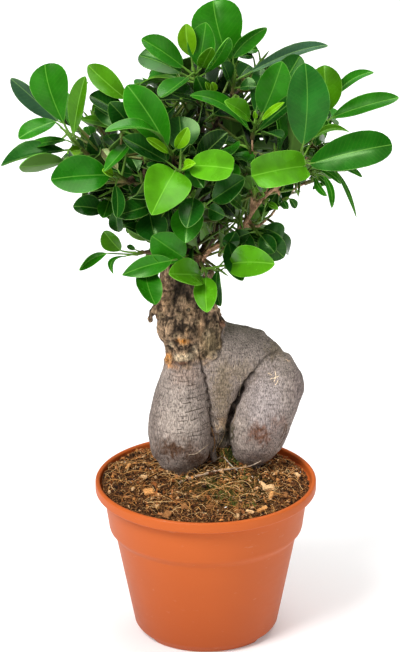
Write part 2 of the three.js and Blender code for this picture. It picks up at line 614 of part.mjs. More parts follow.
// The leaves of a round spray, in the same form as the front ones
function roundLeaves(spray, seed) {
  const random = seeded(seed);
  const foot = vector(spray.foot);
  const bud = vector(spray.bud);
  const axis = bud.clone().sub(foot).normalize();
  const side = new THREE.Vector3(-axis.y, axis.x, 0).normalize();
  const up = new THREE.Vector3().crossVectors(axis, side);
  const leaves = [];
  for (let i = 0; i < spray.count; i++) {
    const place = leafShare(foot, bud, spray.count, i + 0.5);
    const turn = radians(GOLDEN_ANGLE * i + 360 * random());
    const lean = radians(34 + 42 * random() + (i === spray.count - 1 ? -24 : 0));
    const length = 27 + 15 * random();
    const tip = foot.clone().lerp(bud, place)
      .addScaledVector(axis, length * Math.cos(lean))
      .addScaledVector(side, length * Math.sin(lean) * Math.cos(turn))
      .addScaledVector(up, length * Math.sin(lean) * Math.sin(turn));
    tip.z -= 3 + 5 * random();
    const width = length * (0.4 + 0.12 * random());
    const arch = 0.05 + 0.08 * random();
    const age = ["mature", "dark", "mature", "bright", "mature"][Math.floor(5 * random())];
    leaves.push([[tip.x, tip.y, tip.z], width, "sky", arch, age]);
  }
  return leaves;
}

// How wide a blade is along its length, as a share of its full width
const bladeShare = (along) => Math.pow(along, 0.72) * Math.pow(1 - along, 0.52) * 2.32;

// One leaf as the rings of its stalk and its blade, which arches over its length and is folded
// along its midrib where it is broad. margin thickens it on every side.
function leafRings(base, tip, width, turn, arch, stretch, margin) {
  const run = tip.clone().sub(base);
  const length = run.length();
  const along = run.clone().normalize();
  const outwards = new THREE.Vector3(base.x, base.y - 10, 0).multiplyScalar(0.012);
  const light = turn === "sky" ? outwards.setZ(1) : new THREE.Vector3(0, -0.93, 0.36);
  const face = light.addScaledVector(along, -light.dot(along)).normalize();
  if (turn !== "sky") face.applyAxisAngle(along, radians(turn));
  const across = new THREE.Vector3().crossVectors(face, along);
  const ring = (share, half, thick, fold, ribbed) => {
    const p = base.clone().addScaledVector(run, share);
    p.addScaledVector(face, arch * length * 4 * share * (1 - share));
    const slope = arch * 4 * (1 - 2 * share);
    const normal = face.clone().addScaledVector(along, -slope).normalize();
    const rise = half * Math.sin(radians(fold));
    const reach = half * Math.cos(radians(fold));
    const at = (x, h, t) => p.clone().addScaledVector(across, x).addScaledVector(normal, h + t);
    const rib = (t) => (ribbed ? [at(0, 0, t)] : []);
    const near = [at(reach, rise, -thick), at(reach, rise, thick)];
    return [...near, ...rib(thick), at(-reach, rise, thick), at(-reach, rise, -thick), ...rib(-thick)];
  };
  const ribbed = width >= RIBBED_WIDTH;
  const stalk = stretch * Math.min(STALK_SHARE, STALK_LENGTH / length);
  const rings = [ring(stalk, STALK_RADIUS + margin, BLADE_THICKNESS / 2 + margin, 0, false)];
  for (const station of ribbed ? [0.2, 0.5, 0.8] : [0.34, 0.74]) {
    const half = (width / 2) * bladeShare(station) + margin;
    const share = stalk + (1 - stalk) * station;
    rings.push(ring(share, half, BLADE_THICKNESS / 2 + margin, BLADE_FOLD, ribbed));
  }
  rings.push([tip.clone().addScaledVector(along, margin)]);
  return rings;
}

// Solids already in place, so that a new leaf can be tried
const placed = [];
const boxOf = (solid) => {
  const box = solid.boundingBox();
  return new THREE.Box3(vector(box.min), vector(box.max));
};
const keep = (solid, owner) => placed.push({ solid, owner, box: boxOf(solid) });

function clears(owner, leaf) {
  const wide = solidOf(loft(leaf(CLEARANCE)));
  const close = solidOf(loft(leaf(OWN_CLEARANCE)));
  const box = boxOf(wide);
  return placed.every((other) => {
    if (!box.intersectsBox(other.box)) return true;
    return (other.owner === owner ? close : wide).intersect(other.solid).isEmpty();
  });
}

// A leaf that would touch a neighbour swings aside. These are the swings of its tip that are
// tried in turn, in shares of its length across, back and up, with a change of its turn.
const SWINGS = [[0, 0, 0, 0]];
for (const reach of [0.12, 0.24, 0.36, 0.5]) {
  for (const twist of [0, 14, -14]) {
    SWINGS.push([0, reach, 0, twist], [0, -reach, 0, twist]);
  }
  SWINGS.push([0, reach, 0.6 * reach, 0], [0, -reach, -0.4 * reach, 0]);
  SWINGS.push([0.5 * reach, 0.7 * reach, 0, 0], [-0.5 * reach, -0.7 * reach, 0, 0]);
  SWINGS.push([0, 0, 0.5 * reach, 0], [0, 0, -0.5 * reach, 0], [0.6 * reach, 0, 0, 0]);
}

// The shoot of a spray: a five-sided stem with one stretch for each leaf, in order from its foot,
// and a pointed bud at its end
function shootRings(spray) {
  const foot = vector(spray.foot);
  const bud = vector(spray.bud);
  const count = spray.leaves.length;
  const shares = [0];
  for (let i = 0; i <= count; i++) shares.push(leafShare(foot, bud, count, i));
  const points = shares.map((share) => foot.clone().lerp(bud, share));
  const rings = ringsAlong(points, SHOOT_SIDES, (share) => SHOOT_RADIUS - 0.35 * share);
  const point = bud.clone().sub(foot).setLength(BUD_LENGTH).add(bud);
  return [...rings, [point]];
}

// The sides of a shoot's stretch that a stalk could grow from, the one that faces the leaf's tip
// most first. Each has its four corners, and a slightly smaller quad just off the shoot.
function socketsFor(lower, upper, tip) {
  const sockets = [];
  for (let j = 0; j < SHOOT_SIDES; j++) {
    const k = (j + 1) % SHOOT_SIDES;
    const corners = [lower[k], upper[k], upper[j], lower[j]];
    const middle = new THREE.Vector3();
    corners.forEach((corner) => middle.addScaledVector(corner, 0.25));
    const outward = new THREE.Vector3().crossVectors(
      corners[1].clone().sub(corners[0]),
      corners[2].clone().sub(corners[0]),
    ).normalize();
    const quad = corners.map((corner) => corner.clone().lerp(middle, 0.04).addScaledVector(outward, 0.04));
    const base = middle.addScaledVector(outward, STALK_RADIUS + 0.15);
    const facing = outward.dot(tip.clone().sub(base).normalize());
    sockets.push({ side: j, outward, quad, base, facing });
  }
  return sockets.sort((a, b) => b.facing - a.facing).slice(0, 3);
}

// How far the corners of a socket are turned so that the stalk leaves it with the least twist
function leastTwist(quad, ring) {
  const twist = (shift) => ring.reduce((sum, p, n) => sum + quad[(n + shift) % 4].distanceTo(p), 0);
  return [0, 1, 2, 3].reduce((best, shift) => (twist(shift) < twist(best) ? shift : best));
}

// A leaf as rings, in the first way that is clear of all that stands: the least swing of its tip,
// from the side of the shoot that faces it, and on a longer stalk if need be
function placeLeaf(spray, rings, index) {
  const [tipMark, width, turn, arch] = spray.leaves[index];
  const aim = vector(tipMark);
  const sockets = socketsFor(rings[index + 1], rings[index + 2], aim);
  for (const [x, y, z, twist] of SWINGS) {
    for (const { side, outward, quad, base } of sockets) {
      const length = aim.distanceTo(base);
      const tip = aim.clone().add(new THREE.Vector3(x, y, z).multiplyScalar(length));
      tip.sub(base).setLength(length).add(base);
      if (outward.dot(tip.clone().sub(base)) < 0) continue;
      const face = turn === "sky" ? turn : turn + twist;
      for (const stretch of [1, LONG_STALK]) {
        const blade = (margin) => leafRings(base, tip, width, face, arch, stretch, margin);
        const shift = leastTwist(quad, blade(0)[0]);
        const root = quad.map((corner, n) => quad[(n + shift) % 4]);
        const leaf = (margin) => [root, ...blade(margin)];
        if (!clears(spray.name, leaf)) continue;
        keep(solidOf(loft(leaf(0))), spray.name);
        return { side, shift, rings: blade(0) };
      }
    }
  }
  return null;
}

// A whole spray as one closed surface: each stalk grows out of its side of the shoot
function sprayGeometry(spray, rings, leaves) {
  const surface = new Surface();
  const shoot = rings.map((points) => surface.ring(points));
  surface.close(shoot[0], false);
  for (let i = 0; i + 1 < shoot.length; i++) {
    const leaf = leaves[i - 1];
    surface.join(shoot[i], shoot[i + 1], leaf ? leaf.side : -1);
    if (!leaf) continue;
    const j = leaf.side;
    const k = (j + 1) % SHOOT_SIDES;
    const corners = [shoot[i][k], shoot[i + 1][k], shoot[i + 1][j], shoot[i][j]];
    let last = corners.map((corner, n) => corners[(n + leaf.shift) % 4]);
    for (const points of leaf.rings) {
      const next = surface.ring(points);
      surface.join(last, next);
      last = next;
    }
  }
  return surface.geometry();
}

// A twig from its place on a strand to the foot of a shoot, which it meets end to end
function twigSolid(spray) {
  const strand = STRANDS[spray.strand].marks;
  const curve = new THREE.CatmullRomCurve3(strand.map(vector), false, "centripetal");
  const start = curve.getPoint(spray.place);
  const foot = vector(spray.foot);
  const axis = vector(spray.bud).sub(foot).normalize();
  foot.addScaledVector(axis, -GAP);
  const bend = foot.clone().addScaledVector(axis, -0.4 * foot.distanceTo(start));
  const points = new THREE.QuadraticBezierCurve3(start, bend, foot).getPoints(2);
  return solidOf(loft(ringsAlong(points, 5, (share) => TWIG_RADIUS + 0.5 * (1 - share), axis)));
}

// The foot of a shoot, swollen by the gap, to cut the end of a strand that carries it
function swollenFoot(spray) {
  const foot = vector(spray.foot);
  const axis = vector(spray.bud).sub(foot).normalize();
  const points = [foot.clone().addScaledVector(axis, -GAP), foot.clone().addScaledVector(axis, 6)];
  return solidOf(loft(ringsAlong(points, SHOOT_SIDES, () => 1.6 * SHOOT_RADIUS)));
}

// Building the plant

const bonsai = new THREE.Group();
bonsai.name = "ficus_ginseng_bonsai";

const pot = makePot();
const rootstock = mainBody(makeRootstock(0));
const soil = makeSoil();
bonsai.add(meshOf(pot, "pot", terracotta));
bonsai.add(meshOf(soil, "potting_soil", soilBrown));
bonsai.add(meshOf(rootstock, "ginseng_rootstock", bark));
keep(pot, "pot");
keep(soil, "soil");
keep(rootstock, "rootstock");

const sprays = [...FRONT_SPRAYS];
ROUND_SPRAYS.forEach((spray, i) => {
  sprays.push({ ...spray, leaves: roundLeaves(spray, 41 + i) });
});

// The branches, each cut clear of the rootstock, of the branches before it and of every shoot
const branchNames = [...new Set(Object.values(STRANDS).map((strand) => strand.branch))];
let wood = makeRootstock(GAP);
for (const name of branchNames) {
  const strands = Object.values(STRANDS).filter((strand) => strand.branch === name);
  const carried = sprays.filter((spray) => STRANDS[spray.strand].branch === name);
  const solid = (grow) => {
    const limbs = strands.map(({ marks }) => limb(marks, marks.length, 6, 0.02, grow));
    return joined([...limbs, ...carried.filter((spray) => spray.place < 1).map(twigSolid)]);
  };
  const ends = carried.filter((spray) => spray.place === 1).map(swollenFoot);
  const branch = mainBody(solid(0).subtract(joined([wood, ...ends])));
  bonsai.add(meshOf(branch, "branch_" + name, twigBark));
  keep(branch, "branch_" + name);
  wood = wood.add(solid(GAP));
}

// The shoots stand first, so that every leaf is tried against all of them
for (const spray of sprays) {
  spray.rings = shootRings(spray);
  keep(solidOf(loft(spray.rings)), spray.name);
}
for (const spray of sprays) {
  const leaves = spray.leaves.map((leaf, i) => placeLeaf(spray, spray.rings, i));
  const whole = solidOf(sprayGeometry(spray, spray.rings, leaves));
  bonsai.add(meshOf(whole, "spray_" + spray.name, leafGreen));
}

export default bonsai;
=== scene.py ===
import math
import random

import bpy
import numpy as np
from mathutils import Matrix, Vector, noise
from mathutils.bvhtree import BVHTree


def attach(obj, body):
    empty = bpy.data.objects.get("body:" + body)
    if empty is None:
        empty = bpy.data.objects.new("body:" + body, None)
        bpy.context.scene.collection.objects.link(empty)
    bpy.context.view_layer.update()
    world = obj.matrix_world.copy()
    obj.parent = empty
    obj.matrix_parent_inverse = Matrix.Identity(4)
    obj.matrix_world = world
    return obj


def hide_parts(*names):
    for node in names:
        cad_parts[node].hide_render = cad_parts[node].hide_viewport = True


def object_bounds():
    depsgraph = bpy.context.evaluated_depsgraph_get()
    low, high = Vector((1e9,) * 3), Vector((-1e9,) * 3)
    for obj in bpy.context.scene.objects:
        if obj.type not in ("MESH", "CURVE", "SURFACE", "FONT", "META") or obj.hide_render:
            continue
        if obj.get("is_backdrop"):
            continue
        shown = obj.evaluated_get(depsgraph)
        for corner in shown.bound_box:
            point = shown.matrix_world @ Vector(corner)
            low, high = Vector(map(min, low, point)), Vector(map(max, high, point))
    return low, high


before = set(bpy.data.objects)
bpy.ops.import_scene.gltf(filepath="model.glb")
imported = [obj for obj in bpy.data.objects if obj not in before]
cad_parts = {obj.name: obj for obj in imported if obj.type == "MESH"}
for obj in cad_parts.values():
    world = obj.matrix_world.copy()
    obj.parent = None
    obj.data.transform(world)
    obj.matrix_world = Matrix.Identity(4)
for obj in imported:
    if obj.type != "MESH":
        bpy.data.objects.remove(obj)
cad_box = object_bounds()

# The studio: the camera stands in front of the plant and a little above it. Three soft boxes and
# a white sky light it evenly, and the plant stands on a pale floor that has no edge in view.

MM = 0.001
FOCAL_PIXELS = 2996
IMAGE_HEIGHT_PIXELS = 652
IMAGE_WIDTH_PIXELS = 400
SENSOR_HEIGHT = 36
CAMERA_PLACE = Vector((-2.7, -1500, 726)) * MM
CAMERA_PITCH = math.radians(20.16)
CAMERA_ROLL = math.radians(-0.28)

camera_data = bpy.data.cameras.new("camera")
camera_data.sensor_fit = "VERTICAL"
camera_data.sensor_height = SENSOR_HEIGHT
camera_data.lens = SENSOR_HEIGHT * FOCAL_PIXELS / IMAGE_HEIGHT_PIXELS
camera_data.clip_start = 100 * MM
camera = bpy.data.objects.new("camera", camera_data)
camera.location = CAMERA_PLACE
camera.rotation_mode = "XYZ"
camera.rotation_euler = (math.radians(90) - CAMERA_PITCH, 0, 0)
camera.rotation_euler.rotate_axis("Z", CAMERA_ROLL)
bpy.context.scene.collection.objects.link(camera)
bpy.context.scene.camera = camera
bpy.context.scene.view_settings.view_transform = "Standard"


def sight_line(px, py):
    """The direction from the camera through a pixel of the photograph."""
    across = (px - IMAGE_WIDTH_PIXELS / 2) / FOCAL_PIXELS
    down = (py - IMAGE_HEIGHT_PIXELS / 2) / FOCAL_PIXELS
    return (camera.rotation_euler.to_matrix() @ Vector((across, -down, -1))).normalized()


def photo_pixels(points):
    """The pixel of the photograph in which each point is seen."""
    seen = (np.asarray(points) - CAMERA_PLACE) @ np.array(camera.rotation_euler.to_matrix())
    across = seen[:, 0] / -seen[:, 2] * FOCAL_PIXELS
    down = -seen[:, 1] / -seen[:, 2] * FOCAL_PIXELS
    return np.c_[across + IMAGE_WIDTH_PIXELS / 2, down + IMAGE_HEIGHT_PIXELS / 2]


CROWN_MIDDLE = Vector((0, 0, 0.2))


def soft_box(name, place, side, power):
    """A square lamp with soft light that faces the middle of the crown."""
    light = bpy.data.lights.new(name, "AREA")
    light.shape = "SQUARE"
    light.size = side
    light.energy = power
    lamp = bpy.data.objects.new(name, light)
    lamp.location = place
    lamp.rotation_euler = (CROWN_MIDDLE - Vector(place)).to_track_quat("-Z", "Y").to_euler()
    bpy.context.scene.collection.objects.link(lamp)


soft_box("key_light", place=(-0.7, -0.85, 1.25), side=0.6, power=24)
soft_box("fill_light", place=(1.1, -0.9, 0.6), side=0.8, power=3)
soft_box("top_light", place=(0.15, 0.2, 1.3), side=1.0, power=14)


def feed(node, inputs):
    """Sets inputs of a shader node. Each is a value, or the socket that feeds it."""
    for socket, value in inputs.items():
        if isinstance(value, bpy.types.NodeSocket):
            node.id_data.links.new(value, node.inputs[socket])
        else:
            node.inputs[socket].default_value = value


def add_node(tree, kind, inputs=None, output=0, **settings):
    """One output of a new shader node, after its settings and its inputs are made."""
    made = tree.nodes.new("ShaderNode" + kind)
    for setting, value in settings.items():
        setattr(made, setting, value)
    feed(made, inputs or {})
    return made.outputs[output]


def ranged(tree, value, low, high, least=0, most=1):
    """A value that runs from least to most while another runs from low to high."""
    inputs = {"Value": value, "From Min": low, "From Max": high, "To Min": least, "To Max": most}
    return add_node(tree, "MapRange", inputs)


def new_material(name):
    """A material with only its Principled shader and its output. Returns it, its tree and the shader."""
    material = bpy.data.materials.new(name)
    material.use_nodes = True
    tree = material.node_tree
    return material, tree, tree.nodes["Principled BSDF"]


def deselect_all():
    if bpy.context.mode != "OBJECT":
        bpy.ops.object.mode_set(mode="OBJECT")
    bpy.ops.object.select_all(action="DESELECT")


WHITE = (1, 1, 1, 1)
SKY_LIGHT = 0.24

sky = bpy.data.worlds.new("white_sky")
sky.use_nodes = True
feed(sky.node_tree.nodes["Background"], {"Color": WHITE, "Strength": SKY_LIGHT})
bpy.context.scene.world = sky

# The floor glows, more and more behind the plant, so that it is as pale far off as it is near.
FLOOR_SIDE = 30
FLOOR_PALE = (0.88, 0.88, 0.88, 1)
NEAR_GLOW = 0.17
FAR_GLOW = 0.78
GLOW_START = 0.25
GLOW_END = 1.2

deselect_all()
bpy.ops.mesh.primitive_plane_add(size=FLOOR_SIDE)
floor = bpy.context.object
floor.name = "floor"
floor_paint, tree, shader = new_material("pale_floor")
place = add_node(tree, "TexCoord", output="Object")
behind = add_node(tree, "SeparateXYZ", {"Vector": place}, output="Y")
feed(shader, {
    "Base Color": FLOOR_PALE,
    "Roughness": 0.9,
    "Emission Color": WHITE,
    "Emission Strength": ranged(tree, behind, GLOW_START, GLOW_END, NEAR_GLOW, FAR_GLOW),
})
floor.data.materials.append(floor_paint)
floor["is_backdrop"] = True

# The pot: a thin terracotta-coloured plastic nursery pot, moulded in one piece. It has a rolled
# rim, a collar that ends in a soft step, a tapered body, three shallow notches in its foot and
# five drain holes in its base.

RIM_RADIUS = 60 * MM
RIM_FOOT = 81.2 * MM
COLLAR_TOP_RADIUS = 55.5 * MM
COLLAR_BOTTOM_RADIUS = 52.5 * MM
COLLAR_BOTTOM = 60 * MM
BODY_TOP_RADIUS = 49.5 * MM
BODY_TOP = 57 * MM
FOOT_TOP_RADIUS = 39.3 * MM
FOOT_TOP = 5 * MM
FOOT_RADIUS = 36 * MM
WALL = 1.5 * MM
BASE_THICKNESS = 3.6 * MM
POT_SIDES = 144
DRAIN_HOLES = 5
DRAIN_SIDES = 24
DRAIN_RADIUS = 3 * MM
DRAIN_CIRCLE = 24 * MM
NOTCHES = 3
NOTCH_TURN = math.radians(89)
NOTCH_REACH = FOOT_RADIUS + 0.8 * MM
NOTCH_SIZE = Vector((9, 15, 5.4)) * MM


def arc(centre, radius, start, end, steps):
    """Points of a profile round a centre, from one angle to another, in degrees."""
    points = []
    for i in range(steps + 1):
        turn = math.radians(start + (end - start) * i / steps)
        points.append((centre[0] + radius * math.cos(turn), centre[1] + radius * math.sin(turn)))
    return points


def choose(*pieces):
    """Selects only these pieces, and makes the first of them active."""
    deselect_all()
    for piece in pieces:
        piece.select_set(True)
    bpy.context.view_layer.objects.active = pieces[0]


def open_mesh():
    """Opens the active mesh for editing, with all of it selected."""
    bpy.ops.object.mode_set(mode="EDIT")
    bpy.ops.mesh.select_all(action="SELECT")


def close_mesh():
    """Turns every face outwards, and ends the editing."""
    bpy.ops.mesh.select_all(action="SELECT")
    bpy.ops.mesh.normals_make_consistent(inside=False)
    bpy.ops.object.mode_set(mode="OBJECT")


def draw_out(radius, height, profile):
    """Extrudes what is selected along a profile: each step is a rise and a resize."""
    for next_radius, next_height in profile:
        rise = next_height - height
        bpy.ops.mesh.extrude_region_move(TRANSFORM_OT_translate={"value": (0, 0, rise)})
        share = next_radius / radius
        bpy.ops.transform.resize(value=(share, share, 1), center_override=(0, 0, next_height))
        radius, height = next_radius, next_height


def lathe(name, profile, sides):
    """A body turned from a disc along a profile."""
    deselect_all()
    radius, height = profile[0]
    bpy.ops.mesh.primitive_circle_add(
        vertices=sides, radius=radius, fill_type="NGON", location=(0, 0, height)
    )
    body = bpy.context.object
    body.name = name
    bpy.ops.object.transform_apply(location=True)
    open_mesh()
    draw_out(radius, height, profile[1:])
    close_mesh()
    return body


def apply_modifier(piece, kind, **settings):
    """Gives a piece a modifier with its settings, and applies it."""
    choose(piece)
    modifier = piece.modifiers.new(kind.lower(), kind)
    for setting, value in settings.items():
        setattr(modifier, setting, value)
    bpy.ops.object.modifier_apply(modifier=modifier.name)


def cut_away(piece, cutter):
    """Cuts the cutter out of the piece, and removes the cutter."""
    apply_modifier(piece, "BOOLEAN", operation="DIFFERENCE", solver="EXACT", object=cutter)
    bpy.data.objects.remove(cutter)


def shade_smooth(piece, degrees):
    choose(piece)
    bpy.ops.object.shade_smooth_by_angle(angle=math.radians(degrees))


ROLL = 1.3 * MM
RIM_TOP = 87.6 * MM
RIM_TILT = 0.016
# The section of the wall: up the outside from the foot, round the rim and down the inside.
pot_profile = [
    (FOOT_RADIUS - 1.2 * MM, 0),
    (FOOT_RADIUS, 0.4 * MM),
    (FOOT_TOP_RADIUS - 0.7 * MM, FOOT_TOP - 1.2 * MM),
    (FOOT_TOP_RADIUS, FOOT_TOP),
    (BODY_TOP_RADIUS - 0.3 * MM, BODY_TOP - 1.4 * MM),
    (BODY_TOP_RADIUS + 0.2 * MM, BODY_TOP),
    (COLLAR_BOTTOM_RADIUS - 0.9 * MM, COLLAR_BOTTOM - 0.9 * MM),
    (COLLAR_BOTTOM_RADIUS - 0.1 * MM, COLLAR_BOTTOM + 0.2 * MM),
    (COLLAR_BOTTOM_RADIUS + 0.3 * MM, COLLAR_BOTTOM + 1.6 * MM),
    (COLLAR_TOP_RADIUS, RIM_FOOT - 0.3 * MM),
    (COLLAR_TOP_RADIUS + 1 * MM, RIM_FOOT + 0.3 * MM),
    *arc((RIM_RADIUS - 1.2 * MM, RIM_FOOT + 1.5 * MM), 1.2 * MM, -90, 0, 5),
    *arc((RIM_RADIUS - ROLL, RIM_TOP - ROLL), ROLL, 0, 180, 10),
    (RIM_RADIUS - 2 * ROLL - 0.2 * MM, RIM_FOOT + 3 * MM),
    (COLLAR_TOP_RADIUS - WALL, RIM_FOOT),
    (COLLAR_BOTTOM_RADIUS - WALL, COLLAR_BOTTOM + 0.6 * MM),
    (BODY_TOP_RADIUS - WALL, BODY_TOP + 0.6 * MM),
    (FOOT_TOP_RADIUS - WALL, FOOT_TOP + 0.6 * MM),
    (FOOT_RADIUS - WALL, BASE_THICKNESS),
]
pot = lathe("nursery_pot", pot_profile, POT_SIDES)

# The soft rim leans: it stands a little lower in front than at the back.
for vertex in pot.data.vertices:
    share = min(1, max(0, (vertex.co.z - COLLAR_BOTTOM) / (RIM_FOOT - COLLAR_BOTTOM)))
    vertex.co.z += RIM_TILT * vertex.co.y * share

for i in range(DRAIN_HOLES):
    turn = (i + 0.5) / DRAIN_HOLES * 2 * math.pi
    place = (DRAIN_CIRCLE * math.cos(turn), DRAIN_CIRCLE * math.sin(turn), 0)
    deselect_all()
    bpy.ops.mesh.primitive_cylinder_add(
        vertices=DRAIN_SIDES, radius=DRAIN_RADIUS, depth=4 * BASE_THICKNESS, location=place
    )
    cut_away(pot, bpy.context.object)

for i in range(NOTCHES):
    turn = NOTCH_TURN + i / NOTCHES * 2 * math.pi
    place = (NOTCH_REACH * math.cos(turn), NOTCH_REACH * math.sin(turn), 0)
    deselect_all()
    bpy.ops.mesh.primitive_cube_add(size=1, location=place, rotation=(0, 0, turn), scale=NOTCH_SIZE)
    cut_away(pot, bpy.context.object)


def math_of(tree, operation, *values):
    """The result of a sum with values or sockets."""
    return add_node(tree, "Math", dict(enumerate(values)), operation=operation)


def clouds_of(tree, place, scale, detail, roughness=0.5):
    """Cloudy noise over the places of a piece."""
    inputs = {"Vector": place, "Scale": scale, "Detail": detail, "Roughness": roughness}
    return add_node(tree, "TexNoise", inputs)


def mixed(tree, share, colour, other):
    """A colour mixed with a share of another."""
    return add_node(tree, "Mix", {0: share, 6: colour, 7: other}, output=2, data_type="RGBA")


def bumps_of(tree, height, distance, strength, under=None):
    """Bumps where a height rises, on top of other bumps if there are any."""
    inputs = {"Height": height, "Distance": distance, "Strength": strength}
    if under:
        inputs["Normal"] = under
    return add_node(tree, "Bump", inputs)


def rgba(colour):
    return (*colour, 1)


TERRACOTTA = (0.56, 0.116, 0.02)
TERRACOTTA_DEEP = (0.44, 0.086, 0.016)
SCUFF = (0.6, 0.28, 0.17)

# The plastic is a little deeper in colour towards the foot, cloudy, and scuffed here and there.
terracotta, tree, shader = new_material("terracotta_plastic")
place = add_node(tree, "TexCoord", output="Object")
height = add_node(tree, "SeparateXYZ", {"Vector": place}, output="Z")
cloudy = math_of(tree, "SUBTRACT", clouds_of(tree, place, 28, 4), 0.5)
tone = math_of(tree, "MULTIPLY_ADD", cloudy, 0.5, ranged(tree, height, 0, RIM_TOP))
plastic = mixed(tree, tone, rgba(TERRACOTTA_DEEP), rgba(TERRACOTTA))
upright = add_node(tree, "Mapping", {"Vector": place, "Scale": (1, 1, 3.2)})
marks = clouds_of(tree, upright, 95, 5, 0.75)
wobble = bumps_of(tree, clouds_of(tree, place, 34, 1), 0.5 * MM, 0.35)
feed(shader, {
    "Base Color": mixed(tree, ranged(tree, marks, 0.63, 0.72, 0, 0.5), plastic, rgba(SCUFF)),
    "Roughness": ranged(tree, marks, 0, 1, 0.38, 0.56),
    "Normal": bumps_of(tree, clouds_of(tree, place, 900, 2), 0.03 * MM, 0.4, wobble),
    "Specular IOR Level": 0.18,
})

pot.data.materials.append(terracotta)
shade_smooth(pot, 32)
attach(pot, "root")
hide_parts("pot")

# The potting soil: a dark fibrous mix of peat, coir and bark that fills the pot to a low mound.
# Its surface is all crumbs, strands, bits of bark and a little moss, laid on the bed by a rule.

SOIL_EDGE = 85.3 * MM
SOIL_CROWN = 5.2 * MM
SOIL_LUMPS = 0.6 * MM
SOIL_LEAN = (-0.02, 0.008)
SOIL_TOP = 130 * MM
SOIL_RADIUS = 56.4 * MM
SOIL_CELLS = 120
SOIL_FOOT = BASE_THICKNESS + 0.6 * MM
SOIL_SEED = 7
HEAP_PLACE = (10 * MM, 19 * MM)
HEAP_RISE = 14 * MM
HEAP_SPREAD = 7.5 * MM


def soil_height(x, y):
    """How high the mound is, before its crumbs. A small heap stands between the two thick roots."""
    share = math.hypot(x, y) / RIM_RADIUS
    a, b = x / MM, y / MM
    lumps = math.sin(0.19 * a + 1) * math.cos(0.23 * b) + 0.6 * math.sin(0.37 * b - 0.31 * a)
    mound = SOIL_EDGE + SOIL_CROWN * (1 - share * share) + SOIL_LUMPS * lumps
    mound += SOIL_LEAN[0] * x
    mound += SOIL_LEAN[1] * y
    off_heap = math.hypot(x - HEAP_PLACE[0], y - HEAP_PLACE[1]) / HEAP_SPREAD
    return mound + HEAP_RISE * math.exp(-off_heap * off_heap)


def points_of(piece):
    points = np.empty(3 * len(piece.data.vertices), np.float32)
    piece.data.vertices.foreach_get("co", points)
    return points.reshape(-1, 3).astype(float)


def set_points(piece, points):
    piece.data.vertices.foreach_set("co", np.asarray(points, np.float32).ravel())
    piece.data.update()


def give(piece, attribute, values):
    """Gives an attribute of a piece a colour or a vector for each point, and makes it if it's new."""
    values = np.asarray(values, np.float32)
    kind, field = ("FLOAT_COLOR", "color") if values.shape[1] == 4 else ("FLOAT_VECTOR", "vector")
    layers = piece.data.attributes
    layer = layers.get(attribute) or layers.new(attribute, kind, "POINT")
    layer.data.foreach_set(field, values.ravel())


def laid_copy(template, points, colour):
    """A copy of a template with its own mesh, its points laid anew and its own colour."""
    piece = template.copy()
    piece.data = template.data.copy()
    bpy.context.scene.collection.objects.link(piece)
    set_points(piece, points)
    give(piece, "own_colour", np.tile(rgba(colour), (len(points), 1)))
    return piece


def joined(pieces, name):
    choose(*pieces)
    if len(pieces) > 1:
        bpy.ops.object.join()
    pieces[0].name = name
    pieces[0].data.name = name
    return pieces[0]


deselect_all()
bpy.ops.mesh.primitive_grid_add(x_subdivisions=SOIL_CELLS, y_subdivisions=SOIL_CELLS, size=2)
soil = bpy.context.object
soil.name = "soil_bed"
flat = points_of(soil)
disc_x = flat[:, 0] * np.sqrt(1 - flat[:, 1] ** 2 / 2) * SOIL_RADIUS
disc_y = flat[:, 1] * np.sqrt(1 - flat[:, 0] ** 2 / 2) * SOIL_RADIUS
heights = []
for x, y in zip(disc_x, disc_y):
    fine = noise.noise(Vector((x, y, 0)) * 620) * 0.9 * MM
    coarse = noise.noise(Vector((x, y, 0.1)) * 210) * 1.5 * MM
    heights.append(soil_height(x, y) - 1.1 * MM + fine + coarse)
set_points(soil, np.c_[disc_x, disc_y, heights])
open_mesh()
bpy.ops.mesh.region_to_loop()
soil_skirt = [
    (COLLAR_TOP_RADIUS - WALL - 0.9 * MM, RIM_FOOT),
    (COLLAR_BOTTOM_RADIUS - WALL - 0.5 * MM, COLLAR_BOTTOM + 2 * MM),
    (BODY_TOP_RADIUS - WALL - 0.6 * MM, BODY_TOP),
    (FOOT_TOP_RADIUS - WALL - 0.5 * MM, FOOT_TOP + 1 * MM),
    (FOOT_RADIUS - WALL - 0.7 * MM, SOIL_FOOT),
]
draw_out(SOIL_RADIUS, SOIL_EDGE, soil_skirt)
bpy.ops.transform.resize(value=(1, 1, 0), center_override=(0, 0, SOIL_FOOT))
bpy.ops.mesh.edge_face_add()
close_mesh()


def toned(tree, value, *stops):
    """A colour that follows a value through stops, each a position and a colour."""
    tone = add_node(tree, "ValToRGB", {"Fac": value})
    elements = tone.node.color_ramp.elements
    for element, (position, colour) in zip(elements, (stops[0], stops[-1])):
        element.position = position
        element.color = rgba(colour)
    for position, colour in stops[1:-1]:
        elements.new(position).color = rgba(colour)
    return tone


PEAT = (0.02, 0.009, 0.004)
EARTH = (0.14, 0.051, 0.016)
COIR = (0.62, 0.33, 0.12)
MOSS = (0.075, 0.085, 0.012)
MOSSY_PLACE = (0.012, -0.012, 0.088)
MOSSY_REACH = 32 * MM
MOSSY_CORE = 8 * MM

